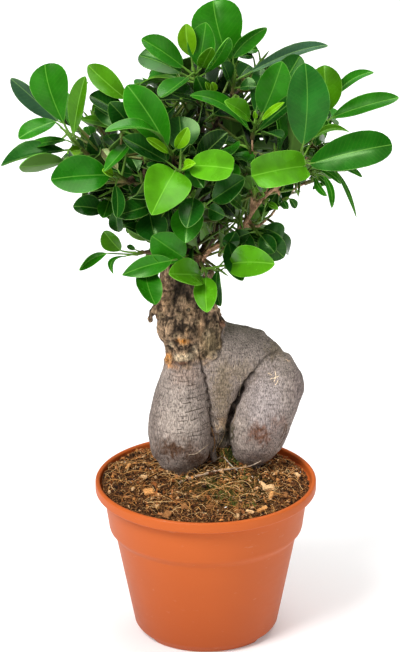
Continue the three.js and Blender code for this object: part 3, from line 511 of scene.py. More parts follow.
soil_paint, tree, shader = new_material("potting_soil")
place = add_node(tree, "TexCoord", output="Object")
speckle = clouds_of(tree, place, 900, 6, 0.8)
mix = toned(tree, speckle, (0.46, PEAT), (0.52, EARTH), (0.68, COIR))
off = add_node(tree, "VectorMath", {0: place, 1: MOSSY_PLACE}, output="Value", operation="DISTANCE")
near_moss = ranged(tree, off, MOSSY_REACH, MOSSY_CORE)
mossy = math_of(tree, "MULTIPLY", clouds_of(tree, place, 60, 3), near_moss)
feed(shader, {
    "Base Color": mixed(tree, mossy, mix, rgba(MOSS)),
    "Roughness": 0.95,
    "Normal": bumps_of(tree, speckle, 0.8 * MM, 1.0),
    "Specular IOR Level": 0.15,
})
soil.data.materials.append(soil_paint)
shade_smooth(soil, 60)
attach(soil, "root")
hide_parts("potting_soil")

# What lies on the soil, all of it loose: peat crumbs, strands of coir, chips of bark, a few white
# grains and moss. Each kind is modelled once, copied and strewn by a rule, and has its own colour.


def scaled(tree, colour, share):
    """A colour made lighter or darker by a share."""
    return add_node(tree, "VectorMath", {0: colour, "Scale": share}, operation="SCALE")


debris_paint, tree, shader = new_material("soil_debris")
own = add_node(tree, "Attribute", attribute_name="own_colour")
flecks = clouds_of(tree, add_node(tree, "TexCoord", output="Object"), 1100, 3)
feed(shader, {
    "Base Color": scaled(tree, own, ranged(tree, flecks, 0, 1, 0.12, 2.2)),
    "Roughness": 0.85,
    "Specular IOR Level": 0.2,
})

CRUMB_COLOURS = [
    PEAT, PEAT, PEAT, (0.03, 0.012, 0.006), (0.1, 0.034, 0.011), (0.3, 0.1, 0.026), (0.55, 0.22, 0.06),
    (0.42, 0.17, 0.06), (0.72, 0.45, 0.22),
]
STRAND_COLOURS = [
    (0.6, 0.3, 0.09), (0.46, 0.2, 0.055), (0.72, 0.46, 0.2), (0.26, 0.1, 0.03), (0.05, 0.02, 0.01),
]
WHITE_GRAIN = (0.75, 0.72, 0.66)
CRUMBS = 2700
WHITE_GRAINS = 26
LEAST_CRUMB_MM = 0.3
MORE_CRUMB_MM = 1.3
WHITE_GRAIN_SIZE = 0.45 * MM
STRANDS = 1500
LEAST_STRAND_MM = 3
MORE_STRAND_MM = 13
STRAND_CURL = 1.6
STRAND_LIFT_MM = 1.8
STRAND_RADII_MM = (0.05, 0.15)
SOIL_MARGIN = 1.5 * MM
SIGHT_STEP = 0.2 * MM


def turned(points, axis, angle):
    """Points turned round an axis through the origin."""
    axis = np.asarray(axis, float) / np.linalg.norm(axis)
    cos, sin = math.cos(angle), math.sin(angle)
    return points * cos + np.cross(axis, points) * sin + np.outer(points @ axis, axis) * (1 - cos)


def spot_on_soil(draw):
    """A place on the mound, drawn evenly."""
    reach = (SOIL_RADIUS - SOIL_MARGIN) * math.sqrt(draw.random())
    turn = 2 * math.pi * draw.random()
    x, y = reach * math.cos(turn), reach * math.sin(turn)
    return np.array((x, y, soil_height(x, y)))


def soil_at_pixel(px, py):
    """The place on the mound that a pixel of the photograph shows."""
    line = sight_line(px, py)
    reach = (CAMERA_PLACE.z - SOIL_TOP) / -line.z
    while True:
        x, y, z = CAMERA_PLACE + line * reach
        if z < soil_height(x, y):
            return np.array((x, y, z))
        reach += SIGHT_STEP


draw = random.Random(SOIL_SEED)
deselect_all()
bpy.ops.mesh.primitive_ico_sphere_add(subdivisions=1, radius=1)
crumb = bpy.context.object
crumb_points = points_of(crumb)
strewn = []
for i in range(CRUMBS + WHITE_GRAINS):
    size = (LEAST_CRUMB_MM + MORE_CRUMB_MM * draw.random() ** 5) * MM
    colour = draw.choice(CRUMB_COLOURS)
    if i >= CRUMBS:
        size, colour = WHITE_GRAIN_SIZE, WHITE_GRAIN
    shape = np.array([draw.uniform(0.7, 1.7), draw.uniform(0.6, 1.0), draw.uniform(0.4, 0.8)])
    rough = crumb_points * (1 + 0.25 * np.array([[draw.uniform(-1, 1)] for _ in crumb_points]))
    axis = (draw.uniform(-1, 1), draw.uniform(-1, 1), 0.4)
    points = turned(rough * shape * size, axis, draw.uniform(0, 6))
    strewn.append(laid_copy(crumb, points + spot_on_soil(draw) - (0, 0, 0.2 * size), colour))
crumbs = joined(strewn, "soil_crumbs")
bpy.data.objects.remove(crumb)
crumbs.data.materials.append(debris_paint)
shade_smooth(crumbs, 20)
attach(crumbs, "root")


def rod_template(sides, stretches):
    """A closed straight rod of radius 1 from z 0 to z 1, in equal stretches."""
    deselect_all()
    bpy.ops.mesh.primitive_circle_add(vertices=sides, radius=1, fill_type="NGON")
    rod = bpy.context.object
    open_mesh()
    for _ in range(stretches):
        bpy.ops.mesh.extrude_region_move(TRANSFORM_OT_translate={"value": (0, 0, 1 / stretches)})
    close_mesh()
    return rod


def unit(vector):
    vector = np.asarray(vector, float)
    return vector / max(np.linalg.norm(vector), 1e-12)


def bent_rod(rod_points, path, radii):
    """The points of a rod template laid along a path, with a radius at each point of the path."""
    path = np.asarray(path, float)
    forward = np.gradient(path, axis=0)
    sides, ups = [], []
    side = np.array((1.0, 0, 0)) if abs(unit(forward[0])[0]) < 0.8 else np.array((0, 1.0, 0))
    for step in forward:
        step = unit(step)
        side = unit(side - step * (side @ step))
        sides.append(side)
        ups.append(np.cross(step, side))
    ring = np.rint(rod_points[:, 2] * (len(path) - 1)).astype(int)
    radius = np.asarray(radii, float)[ring][:, None]
    across = rod_points[:, 0:1] * np.asarray(sides)[ring] + rod_points[:, 1:2] * np.asarray(ups)[ring]
    return path[ring] + across * radius


STRAND_STRETCHES = 5
strand = rod_template(3, STRAND_STRETCHES)
strand_points = points_of(strand)
strewn = []
for _ in range(STRANDS):
    start = spot_on_soil(draw)
    heading = 2 * math.pi * draw.random()
    length = (LEAST_STRAND_MM + MORE_STRAND_MM * draw.random() ** 3) * MM
    curl = draw.uniform(-STRAND_CURL, STRAND_CURL)
    lift = draw.uniform(0, STRAND_LIFT_MM) * MM
    path = [start + (0, 0, 0.1 * MM)]
    for i in range(STRAND_STRETCHES):
        heading += curl / STRAND_STRETCHES
        step = np.array((math.cos(heading), math.sin(heading), 0)) * length / STRAND_STRETCHES
        x, y = (path[-1] + step)[:2]
        if math.hypot(x, y) > SOIL_RADIUS - 1 * MM:
            heading += math.pi / 2
            x, y = path[-1][:2] * 0.97
        arch = lift * math.sin(math.pi * (i + 1) / STRAND_STRETCHES)
        path.append(np.array((x, y, soil_height(x, y) + 0.15 * MM + arch)))
    radius = draw.uniform(*STRAND_RADII_MM) * MM
    colour = draw.choice(STRAND_COLOURS)
    strewn.append(laid_copy(strand, bent_rod(strand_points, path, [radius] * len(path)), colour))

# Moss: short green threads that stand in tufts, each with its pixel, its spread in millimetres and
# its number of threads.
MOSS_SPOTS_PIXELS = [
    (227, 453, 3.5, 70), (223, 446, 3, 40), (232, 461, 4, 50), (226, 497, 4, 60), (233, 504, 3, 45),
    (212, 486, 5, 40), (184, 481, 5, 25), (243, 478, 5, 30), (250, 506, 6, 20),
]
MOSS_COLOURS = [(0.055, 0.085, 0.012), (0.11, 0.14, 0.025), (0.03, 0.045, 0.01), (0.14, 0.12, 0.03)]
MOSS_LENGTHS_MM = (1.4, 3.2)
MOSS_RADII = [0.22 * MM, 0.25 * MM, 0.24 * MM, 0.2 * MM, 0.14 * MM, 0.05 * MM]
for px, py, spread, threads in MOSS_SPOTS_PIXELS:
    spot = soil_at_pixel(px, py)
    for _ in range(threads):
        x = spot[0] + draw.gauss(0, 0.5) * spread * MM
        y = spot[1] + draw.gauss(0, 0.5) * spread * MM
        foot = np.array((x, y, soil_height(x, y) - 0.5 * MM))
        lean = np.array((draw.gauss(0, 0.6), draw.gauss(0, 0.6), 1))
        top = unit(lean) * draw.uniform(*MOSS_LENGTHS_MM) * MM
        path = [foot + top * i / STRAND_STRETCHES for i in range(STRAND_STRETCHES + 1)]
        points = bent_rod(strand_points, path, MOSS_RADII)
        strewn.append(laid_copy(strand, points, draw.choice(MOSS_COLOURS)))
strands = joined(strewn, "soil_strands")
bpy.data.objects.remove(strand)
strands.data.materials.append(debris_paint)
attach(strands, "root")

# Chips of bark, each with its pixel, its length and width in millimetres, its turn and its colour.
# Each is a small block whose points are shifted by noise.
TAN_CHIP = (0.6, 0.28, 0.09)
PALE_CHIP = (0.72, 0.45, 0.22)
BROWN_CHIP = (0.26, 0.11, 0.035)
CHIP_THICKNESS = 1.1 * MM
CHIP_LIFT = 0.9 * MM
CHIP_GRAIN = 2.3
CHIP_JAGS = (0.24, 0.24, 0.3)
CHIP_SEED = 5
CHIPS = [
    (268, 489, 5.5, 3.6, 20, PALE_CHIP), (271, 497, 4.4, 1.6, 75, TAN_CHIP),
    (263, 486, 4.2, 1.5, 130, PALE_CHIP), (149, 493, 4.8, 4.2, 10, TAN_CHIP),
    (262, 511, 5.5, 2.2, 35, TAN_CHIP), (250, 513, 4.2, 1.4, 150, PALE_CHIP),
    (167, 516, 4.0, 3.4, 60, BROWN_CHIP), (184, 508, 4.6, 3.0, 100, BROWN_CHIP),
    (297, 476, 3.6, 1.8, 120, PALE_CHIP), (128, 468, 4.2, 1.5, 60, TAN_CHIP),
    (210, 508, 3.6, 2.2, 15, BROWN_CHIP), (285, 497, 3.8, 2.4, 80, BROWN_CHIP),
    (144, 478, 3.4, 1.6, 160, PALE_CHIP), (238, 513, 3.0, 2.0, 45, BROWN_CHIP),
]
deselect_all()
bpy.ops.mesh.primitive_cube_add(size=1)
chip = bpy.context.object
open_mesh()
bpy.ops.mesh.subdivide(number_cuts=3)
bpy.ops.object.mode_set(mode="OBJECT")
chip_points = points_of(chip)
noise.seed_set(CHIP_SEED)
strewn = []
for number, (px, py, length, width, degrees, colour) in enumerate(CHIPS):
    jagged = []
    for point in chip_points:
        shift = noise.noise_vector(Vector(point) * CHIP_GRAIN + Vector((number, 0, 0)))
        jagged.append(np.array(point) + np.array(shift) * CHIP_JAGS)
    points = np.array(jagged) * (length * MM, width * MM, CHIP_THICKNESS)
    points = turned(points, (0, 0, 1), math.radians(degrees))
    points = turned(points, (1, 0, 0), draw.uniform(0.05, 0.5))
    strewn.append(laid_copy(chip, points + soil_at_pixel(px, py) + (0, 0, CHIP_LIFT), colour))
chips = joined(strewn, "bark_chips")
bpy.data.objects.remove(chip)
chips.data.materials.append(debris_paint)
shade_smooth(chips, 25)
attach(chips, "root")

# The rootstock: one swollen trunk and root, grown as one piece. Its grey bark is finely wrinkled
# along its length, and above the graft it is brown, knobbly and scarred.

BARK_VOXEL = 0.66 * MM
BARK_ROUNDS = 22


def merged_copy(node, name):
    """A copy of a CAD node with its loose triangles joined into one surface."""
    piece = bpy.data.objects.new(name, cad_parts[node].data.copy())
    bpy.context.scene.collection.objects.link(piece)
    choose(piece)
    open_mesh()
    bpy.ops.mesh.remove_doubles(threshold=0.01 * MM)
    bpy.ops.object.mode_set(mode="OBJECT")
    piece.data.materials.clear()
    return piece


def grow_skin(piece, voxel, rounds):
    """Turns a faceted solid into an even fine mesh and rounds its edges."""
    apply_modifier(piece, "REMESH", mode="VOXEL", voxel_size=voxel)
    apply_modifier(piece, "SMOOTH", factor=0.5, iterations=rounds)


def normals_of(piece):
    normals = np.empty(3 * len(piece.data.vertices), np.float32)
    piece.data.vertices.foreach_get("normal", normals)
    return normals.reshape(-1, 3).astype(float)


def noise_at(points, stretch, seed):
    """Smooth noise at each point, after its millimetres are multiplied by a stretch."""
    stretched = points / MM * stretch + seed
    return np.array([noise.noise(Vector(p)) for p in stretched])


def at_depth(px, py, depth):
    """The place at a depth, along Y, that a pixel of the photograph looks at."""
    line = sight_line(px, py)
    return CAMERA_PLACE + line * ((depth - CAMERA_PLACE.y) / line.y)


# Lumps of root behind the folds, each with its pixel, its depth and its radius in millimetres.
ROOT_LUMPS = [
    (238, 391, 17.5, 6), (234, 402, 16, 5), (219, 427, 11, 4.4), (213, 424, 11, 4),
    (226, 424, 19, 6.5), (224, 437, 18, 6.5),
]
trunk_pieces = [merged_copy("ginseng_rootstock", "rootstock_bark")]
for px, py, depth, radius in ROOT_LUMPS:
    deselect_all()
    bpy.ops.mesh.primitive_ico_sphere_add(
        subdivisions=3, radius=radius * MM, location=at_depth(px, py, depth * MM)
    )
    bpy.ops.object.transform_apply(location=True)
    trunk_pieces.append(bpy.context.object)
trunk = joined(trunk_pieces, "rootstock_bark")
grow_skin(trunk, BARK_VOXEL, BARK_ROUNDS)

# Folds in the bark, each with its half width in pixels, its depth in millimetres and its pixels.
FOLDS = [
    (1.5, 1.0, [(276, 350), (268, 355), (261, 362), (252, 374)]),
    (1.8, 2.2, [(252, 374), (244, 385), (238, 397), (233, 408), (229, 420)]),
    (1.6, 1.2, [(229, 420), (228, 430), (228, 442), (232, 453)]),
    (0.9, 1.7, [(198, 346), (201, 362), (204, 376), (207, 390), (210, 405), (211, 420), (212, 436)]),
    (1.0, 0.8, [(221, 328), (222, 342), (220, 356), (214, 361)]),
    (0.8, 0.4, [(189, 364), (188, 380), (190, 398)]),
    (1.2, 0.7, [(159, 288), (168, 291), (177, 289)]),
    (1.2, 0.7, [(157, 297), (166, 300), (176, 299)]),
    (1.5, 0.9, [(166, 346), (175, 351), (186, 349), (196, 345)]),
    (1.2, 0.8, [(176, 326), (184, 331), (193, 330)]),
    (1.4, 0.8, [(203, 312), (207, 322), (206, 336)]),
    (1.0, 0.5, [(254, 328), (262, 332), (268, 341)]),
]
# Knots and old leaf scars: a pixel, a radius in pixels, and the height of the rim in millimetres.
KNOTS = [
    (189, 310, 2.8, 0.8), (162, 314, 2.6, 0.9), (171, 345, 2.0, 0.7), (207, 334, 2.8, 0.7),
    (214, 355, 3.2, 0.8), (217, 326, 1.8, 0.6), (184, 341, 3.2, 0.6), (168, 361, 2.6, 0.6),
    (178, 318, 2.2, 0.5), (197, 322, 2.4, 0.6), (183, 356, 3.0, 0.5), (176, 336, 2.0, 0.5),
]
# Swellings and hollows: a pixel, a half width and half height in pixels, and a height in millimetres.
SWELLINGS = [
    (297, 384, 8, 14, 1.1), (261, 331, 5, 4, 0.8), (223, 306, 6, 8, -1.8), (222, 324, 5, 4, 0.9),
    (155, 455, 6, 8, 1.3), (160, 325, 6, 8, 0.7), (186, 361, 12, 4, 0.7), (206, 346, 8, 12, 0.8),
    (281, 350, 6, 5, 0.5), (260, 400, 14, 26, 0.6), (178, 425, 18, 26, 0.5), (220, 412, 7, 8, 0.8),
    (303, 388, 6, 12, 1.1), (301, 367, 5, 6, -1.3), (290, 355, 6, 6, 1.3), (204, 457, 9, 9, 2.2),
    (170, 466, 16, 6, 1.4),
]


def off_line(pixels, line):
    """How many pixels each seen point lies off a line of pixels."""
    nearest = np.full(len(pixels), 1e9)
    for start, end in zip(np.array(line[:-1], float), np.array(line[1:], float)):
        step = end - start
        share = np.clip((pixels - start) @ step / (step @ step), 0, 1)
        nearest = np.minimum(nearest, np.linalg.norm(pixels - start - share[:, None] * step, axis=1))
    return nearest


bark_points = points_of(trunk)
bark_normals = normals_of(trunk)
towards_camera = np.sum(bark_normals * -np.array(sight_line(215, 380)), axis=1)
in_front = np.clip(towards_camera * 3 + 0.4, 0, 1) * (bark_points[:, 1] < 0.018)
uneven = np.c_[noise_at(bark_points, 0.25, 5), noise_at(bark_points, 0.25, 25)] * 1.6
bark_pixels = photo_pixels(bark_points) + uneven
px, py = bark_pixels[:, 0], bark_pixels[:, 1]

# The graft: how much of each point is the scion's bark, which ends along this line of pixels.
GRAFT_LINE = [
    (140, 322), (157, 346), (166, 366), (182, 368), (196, 364), (212, 361), (221, 352), (224, 322),
    (240, 300),
]
graft_x, graft_y = zip(*GRAFT_LINE)
above_graft = np.interp(px, graft_x, graft_y) - py + 6 * noise_at(bark_points, 0.3, 31)
scion = np.clip(above_graft / 9 + 0.5, 0, 1)

wrinkles = noise_at(bark_points, (0.6, 0.6, 0.09), 0)
swell = noise_at(bark_points, (0.07, 0.07, 0.045), 7)
knobs = noise_at(bark_points, (0.24, 0.24, 0.16), 3)
ridges = 1 - 2 * np.abs(noise_at(bark_points, (0.4, 0.4, 0.16), 9))
crumbly = noise_at(bark_points, (0.8, 0.8, 0.7), 13)
root_relief = 0.22 * wrinkles + 0.5 * swell + 0.06 * crumbly
scion_relief = 1.4 * knobs + 0.9 * ridges + 0.45 * crumbly - 0.5
relief = root_relief * (1 - scion) + scion_relief * scion
for half_width, depth, line in FOLDS:
    relief -= depth * np.exp(-((off_line(bark_pixels, line) / half_width) ** 2)) * in_front
for x, y, radius, height in KNOTS:
    off = np.hypot(px - x, py - y)
    rim = np.exp(-(((off - radius) / (0.4 * radius)) ** 2))
    relief += (height * rim - 0.7 * height * np.exp(-((off / (0.6 * radius)) ** 2))) * in_front
for x, y, wide, high, height in SWELLINGS:
    relief += height * np.exp(-(((px - x) / wide) ** 2) - ((py - y) / high) ** 2)
set_points(trunk, bark_points + bark_normals * relief[:, None] * MM)

BARK_GREY = (0.33, 0.27, 0.235)
# Pale bark, also used as painted light that lightens the middle of the left lobe.
LOBE_PALE_AND_LIT = (0.45, 0.375, 0.32)
# Painted shade for the edges and the foot of the left lobe.
LOBE_EDGE_SHADE = (0.2, 0.155, 0.13)
LOBE_ROSY = (0.33, 0.235, 0.185)
LEG_MAUVE = (0.44, 0.375, 0.36)
# Painted shade for the edges and the foot of the right leg.
LEG_EDGE_SHADE = (0.19, 0.145, 0.135)
SHOULDER_GREY = (0.285, 0.235, 0.205)
OLIVE_BARK = (0.23, 0.17, 0.09)
WOUND = (0.19, 0.085, 0.05)
SCION_BARK = (0.19, 0.125, 0.075)
SCION_DARK = (0.032, 0.02, 0.012)
STAIN = (0.12, 0.062, 0.035)
SCION_TAN = (0.48, 0.29, 0.16)
ORANGE_SCAR = (0.85, 0.33, 0.05)
CREAM_SCAR = (0.85, 0.68, 0.45)
# Painted shade for the folds of the bark and the hollows of the knots.
CREASE_PAINTED_SHADE = (0.022, 0.014, 0.009)
ROOT_STUB = (0.42, 0.29, 0.18)
KNOT_RING = (0.42, 0.3, 0.17)
MOSSY_ROOT = (0.045, 0.04, 0.015)
# Tints of the bark: a pixel, a half width and half height in pixels, a colour and a strength. The edge
# tints are painted shade on the edges and feet of the lobes and the leg, and the large pale tint on the
# left lobe is painted light on its middle.
TINTS = [
    (176, 425, 19, 32, LOBE_PALE_AND_LIT, 0.8), (151, 412, 6, 50, LOBE_EDGE_SHADE, 0.75),
    (182, 377, 16, 12, LOBE_ROSY, 0.7), (205, 440, 5, 22, LOBE_EDGE_SHADE, 0.5),
    (219, 392, 10, 34, OLIVE_BARK, 0.65), (240, 372, 18, 10, OLIVE_BARK, 0.45),
    (244, 345, 28, 15, SHOULDER_GREY, 0.8), (262, 405, 20, 36, LEG_MAUVE, 0.8),
    (296, 392, 9, 34, LEG_EDGE_SHADE, 0.7), (257, 437, 11, 10, WOUND, 1), (276, 424, 9, 7, WOUND, 0.5),
    (236, 428, 5, 12, LOBE_PALE_AND_LIT, 0.5), (250, 459, 14, 5, LEG_EDGE_SHADE, 0.6),
    (172, 450, 21, 8, STAIN, 1), (192, 461, 14, 7, STAIN, 0.9), (168, 465, 11, 1.6, LOBE_PALE_AND_LIT, 0.7),
    (272, 352, 9, 9, OLIVE_BARK, 0.5), (180, 466, 22, 5, LOBE_EDGE_SHADE, 0.6),
    (219, 427, 6, 7, ROOT_STUB, 0.85), (282, 440, 5, 9, LEG_EDGE_SHADE, 0.6),
    (227, 436, 4, 12, MOSSY_ROOT, 0.9), (218, 446, 7, 9, MOSSY_ROOT, 0.8),
    (222, 440, 4, 6, MOSSY_ROOT, 0.8),
]
# Tints of the scion's bark above the graft.
SCION_TINTS = [
    (184, 292, 26, 14, SCION_DARK, 0.35), (182, 289, 13, 8, SCION_DARK, 0.8),
    (200, 303, 8, 10, SCION_DARK, 0.75), (164, 295, 6, 17, SCION_TAN, 0.95),
    (164, 291, 7, 1, SCION_DARK, 0.8), (165, 298, 7, 1, SCION_DARK, 0.8),
    (163, 305, 6, 1, SCION_DARK, 0.8), (195, 325, 1.6, 12, SCION_DARK, 0.7),
    (201, 329, 3.5, 13, SCION_TAN, 0.7), (206, 321, 1.6, 10, SCION_DARK, 0.7),
    (211, 343, 11, 14, OLIVE_BARK, 0.9), (210, 349, 2, 5, SCION_DARK, 0.6),
    (217, 338, 1.5, 8, SCION_DARK, 0.6), (207, 334, 4, 3, CREAM_SCAR, 0.5),
    (214, 355, 3.5, 3.5, CREAM_SCAR, 0.5), (189, 310, 4.2, 4.2, SCION_TAN, 0.95),
    (189, 310, 2.4, 2.4, SCION_DARK, 0.95), (189, 310, 1.2, 1.2, CREAM_SCAR, 0.8),
    (162.5, 315, 3.4, 3.4, SCION_DARK, 0.9), (162.5, 315, 1.5, 1.5, SCION_TAN, 0.9),
    (178, 329, 4, 3, SCION_DARK, 0.95), (186, 333, 1.6, 5, SCION_TAN, 0.9),
    (190, 336, 2, 4, SCION_DARK, 0.8), (183, 341, 6, 3, ORANGE_SCAR, 0.95),
    (188, 337, 4, 1.5, SCION_DARK, 0.8), (168, 361, 3.5, 7, ORANGE_SCAR, 0.95),
    (173, 368, 6, 3, ORANGE_SCAR, 0.6), (165, 351, 2, 4, SCION_DARK, 0.7),
    (183, 357, 9, 3.5, CREAM_SCAR, 0.9), (180, 363, 9, 2, WOUND, 0.8),
    (196, 350, 4, 5, CREAM_SCAR, 0.3), (171, 345, 2.4, 2.6, CREAM_SCAR, 0.7),
    (222, 324, 2.5, 4, WOUND, 0.85),
]


def tint(colours, share, colour):
    """Colours with a share of another, from 0 to 1, for each of them."""
    share = np.clip(share, 0, 1)[:, None]
    return colours * (1 - share) + np.array(colour) * share


# Stains wander off their middles, so that none has a smooth edge.
stain_x, stain_y = px + 9 * (crumbly - 0.35), py + 9 * (ridges - 0.35)
colours = np.tile(BARK_GREY, (len(bark_points), 1))
for x, y, wide, high, colour, strength in TINTS:
    off = ((stain_x - x) / wide) ** 2 + ((stain_y - y) / high) ** 2
    colours = tint(colours, strength * np.exp(-(off**1.5)), colour)
grain = (1.5 * ridges + 1.4 * knobs + 1.6 * crumbly - 0.05)[:, None].clip(0.18, 2.6)
scion_colours = np.array(SCION_BARK) * grain
for x, y, wide, high, colour, strength in SCION_TINTS:
    off = ((px - x) / wide) ** 2 + ((py - y) / high) ** 2
    grainy = np.array(colour) * (0.6 + 0.4 * grain)
    scion_colours = tint(scion_colours, strength * np.exp(-(off**1.5)), grainy)
colours = colours * (1 - scion[:, None]) + scion_colours * scion[:, None]
# The folds and the hollows of the knots are darkened with painted shade.
for half_width, depth, line in FOLDS:
    near = np.exp(-((off_line(bark_pixels, line) / (0.8 * half_width)) ** 2)) * in_front
    colours = tint(colours, near * min(1, 0.3 + 0.32 * depth), CREASE_PAINTED_SHADE)
for x, y, radius, height in KNOTS:
    off = np.hypot(px - x, py - y)
    ring = np.exp(-(((off - radius) / (0.3 * radius)) ** 2)) * in_front
    colours = tint(colours, 0.6 * ring, KNOT_RING)
    colours = tint(colours, 0.85 * np.exp(-((off / (0.55 * radius)) ** 2)) * in_front, CREASE_PAINTED_SHADE)
# The alpha channel says how cracked the bark is: most on the inner half of the left root.
cracked = 0.3 + 0.7 * np.exp(-(((px - 192) / 20) ** 2) - ((py - 412) / 38) ** 2)
colours = np.c_[colours, cracked * (1 - scion)]


def stripes_of(tree, along, per_metre):
    """How far a place lies from the middle of its stripe, as a share of the stripes' spacing."""
    within = math_of(tree, "FRACT", math_of(tree, "MULTIPLY", along, per_metre))
    return math_of(tree, "ABSOLUTE", math_of(tree, "SUBTRACT", within, 0.5))


CRACK = (0.05, 0.033, 0.024, 1)
CRACKS_PER_METRE = 430

# Fine streaks and pores run along the root. Broken level cracks cross it where it is cracked.
bark, tree, shader = new_material("root_bark")
own = add_node(tree, "Attribute", attribute_name="own_colour")
place = add_node(tree, "TexCoord", output="Object")
lengthwise = add_node(tree, "Mapping", {"Vector": place, "Scale": (1, 1, 0.28)})
mottle = clouds_of(tree, place, 240, 4, 0.6)
pores = add_node(tree, "TexVoronoi", {"Vector": lengthwise, "Scale": 1000})
streak_light = ranged(tree, clouds_of(tree, lengthwise, 1900, 3, 0.65), 0.3, 0.7, 0.3, 1.75)
mottle_light = ranged(tree, mottle, 0.3, 0.7, 0.75, 1.25)
pore_light = ranged(tree, pores, 0.12, 0.34, 0.35)
light = math_of(tree, "MULTIPLY", math_of(tree, "MULTIPLY", streak_light, mottle_light), pore_light)
level = add_node(tree, "SeparateXYZ", {"Vector": place}, output="Z")
wavy = math_of(tree, "MULTIPLY_ADD", mottle, 0.0025, level)
line = ranged(tree, stripes_of(tree, wavy, CRACKS_PER_METRE), 0.16, 0.06)
across = add_node(tree, "Mapping", {"Vector": place, "Scale": (0.55, 0.55, 1.9)})
stretch_of_line = ranged(tree, clouds_of(tree, across, 330, 1), 0.5, 0.55)
lines = math_of(tree, "MULTIPLY", line, stretch_of_line)
cracks = math_of(tree, "MULTIPLY", lines, own.node.outputs["Alpha"])
feed(shader, {
    "Base Color": mixed(tree, cracks, scaled(tree, own, light), CRACK),
    "Roughness": 0.72,
    "Normal": bumps_of(tree, math_of(tree, "SUBTRACT", light, cracks), 0.3 * MM, 0.6),
    "Specular IOR Level": 0.18,
})
give(trunk, "own_colour", colours)
trunk.data.materials.append(bark)
shade_smooth(trunk, 80)
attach(trunk, "root")
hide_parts("ginseng_rootstock")

# Thin side roots: wiry threads that lie on the bark and run into the soil. Each follows the pixels
# in which the photograph shows it, on the nearest bark or soil behind them.

SCRATCH = (0.85, 0.7, 0.52)
# Each thread with its radius in millimetres, its colour and its pixels. The first is a loose stick,
# and those in the scratch colour are old pale scratches in the bark.
ROOT_THREADS = [
    (0.9, (0.5, 0.36, 0.25), [(179, 483), (191, 478), (205, 474), (216, 471), (228, 469)]),
    (0.45, (0.62, 0.5, 0.38), [(220, 471), (230, 469), (240, 468), (251, 466), (261, 461)]),
    (0.32, SCRATCH, [(268, 373), (270, 374), (272, 375)]),
    (0.32, SCRATCH, [(275, 371), (276, 376), (274, 382)]),
    (0.32, SCRATCH, [(270, 379), (274, 378), (279, 376)]),
    (0.32, SCRATCH, [(275, 385), (277, 383), (278, 380)]),
    (0.3, (0.66, 0.5, 0.34), [(286, 359), (288, 361), (290, 361)]),
    (0.45, (0.5, 0.42, 0.32), [(224, 457), (229, 463), (234, 468), (238, 471)]),
    (0.32, (0.4, 0.32, 0.22), [(200, 467), (207, 461), (213, 454), (217, 446), (219, 437), (217, 429)]),
    (0.3, (0.36, 0.28, 0.2), [(188, 455), (196, 454), (203, 449), (209, 444)]),
    (0.26, (0.5, 0.43, 0.32), [(240, 376), (241, 383), (240, 389), (239, 396)]),
    (0.42, (0.3, 0.17, 0.08), [(213, 452), (215, 444), (214, 436), (211, 427)]),
    (0.3, (0.3, 0.22, 0.13), [(222, 424), (225, 432), (222, 440), (218, 447)]),
    (0.28, (0.13, 0.08, 0.05), [(287, 424), (286, 433), (283, 440), (279, 446)]),
    (0.26, (0.16, 0.1, 0.06), [(286, 424), (284, 432), (280, 439)]),
    (0.3, (0.38, 0.3, 0.2), [(206, 466), (214, 461), (222, 456), (228, 449)]),
    (0.24, (0.3, 0.22, 0.14), [(235, 404), (236, 410), (235, 417), (233, 423)]),
]
THREAD_SIDES = 6
THREAD_STRETCHES = 18
THREAD_ROUNDS = 2
# A thread lies its own radius above the bark or the soil. Those of these radii stand higher on it.
THREAD_LIFT = {0.9: 1.8, 0.45: 1.4}


def tree_of(*pieces):
    """A search tree of the faces of pieces."""
    corners, faces = [], []
    for piece in pieces:
        first = len(corners)
        corners += [vertex.co.copy() for vertex in piece.data.vertices]
        faces += [[first + i for i in face.vertices] for face in piece.data.polygons]
    return BVHTree.FromPolygons(corners, faces)


bark_tree, soil_tree = tree_of(trunk), tree_of(soil)
thread = rod_template(THREAD_SIDES, THREAD_STRETCHES)
thread_points = points_of(thread)


def reach_of(px, py):
    """How far the sight line of a pixel runs before it meets the bark or the soil, if it does."""
    reaches = []
    for surface_tree in (bark_tree, soil_tree):
        place, _, _, reach = surface_tree.ray_cast(CAMERA_PLACE, sight_line(px, py))
        if place is not None:
            reaches.append(reach)
    return min(reaches, default=None)


threads = []
for radius, colour, pixels in ROOT_THREADS:
    marks = np.array(pixels, float)
    reach = reach_of(*marks[-1])
    lift = THREAD_LIFT.get(radius, radius) * MM
    path = []
    for i in range(THREAD_STRETCHES + 1):
        share = i / THREAD_STRETCHES * (len(marks) - 1)
        px, py = (np.interp(share, range(len(marks)), marks[:, axis]) for axis in (0, 1))
        reach = reach_of(px, py) or reach
        path.append(CAMERA_PLACE + sight_line(px, py) * (reach - lift))
    path = np.array(path)
    for _ in range(THREAD_ROUNDS):
        path[1:-1] = (path[:-2] + 2 * path[1:-1] + path[2:]) / 4
    radii = [radius * MM * (0.75 + 0.3 * math.sin(2.1 * i)) for i in range(len(path))]
    threads.append(laid_copy(thread, bent_rod(thread_points, path, radii), colour))
side_roots = joined(threads, "side_roots")
bpy.data.objects.remove(thread)
side_roots.data.materials.append(debris_paint)
shade_smooth(side_roots, 60)
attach(side_roots, "root")

# The branches: the slim brown wood of the scion, each grown as one piece with its side strands and
# twigs out of the neck. The CAD node is stouter than the wood, so each is slimmed here.

BRANCHES = ["right", "left", "centre", "high", "back", "back_right"]
BRANCH_VOXEL = 0.5 * MM
BRANCH_ROUNDS = 4
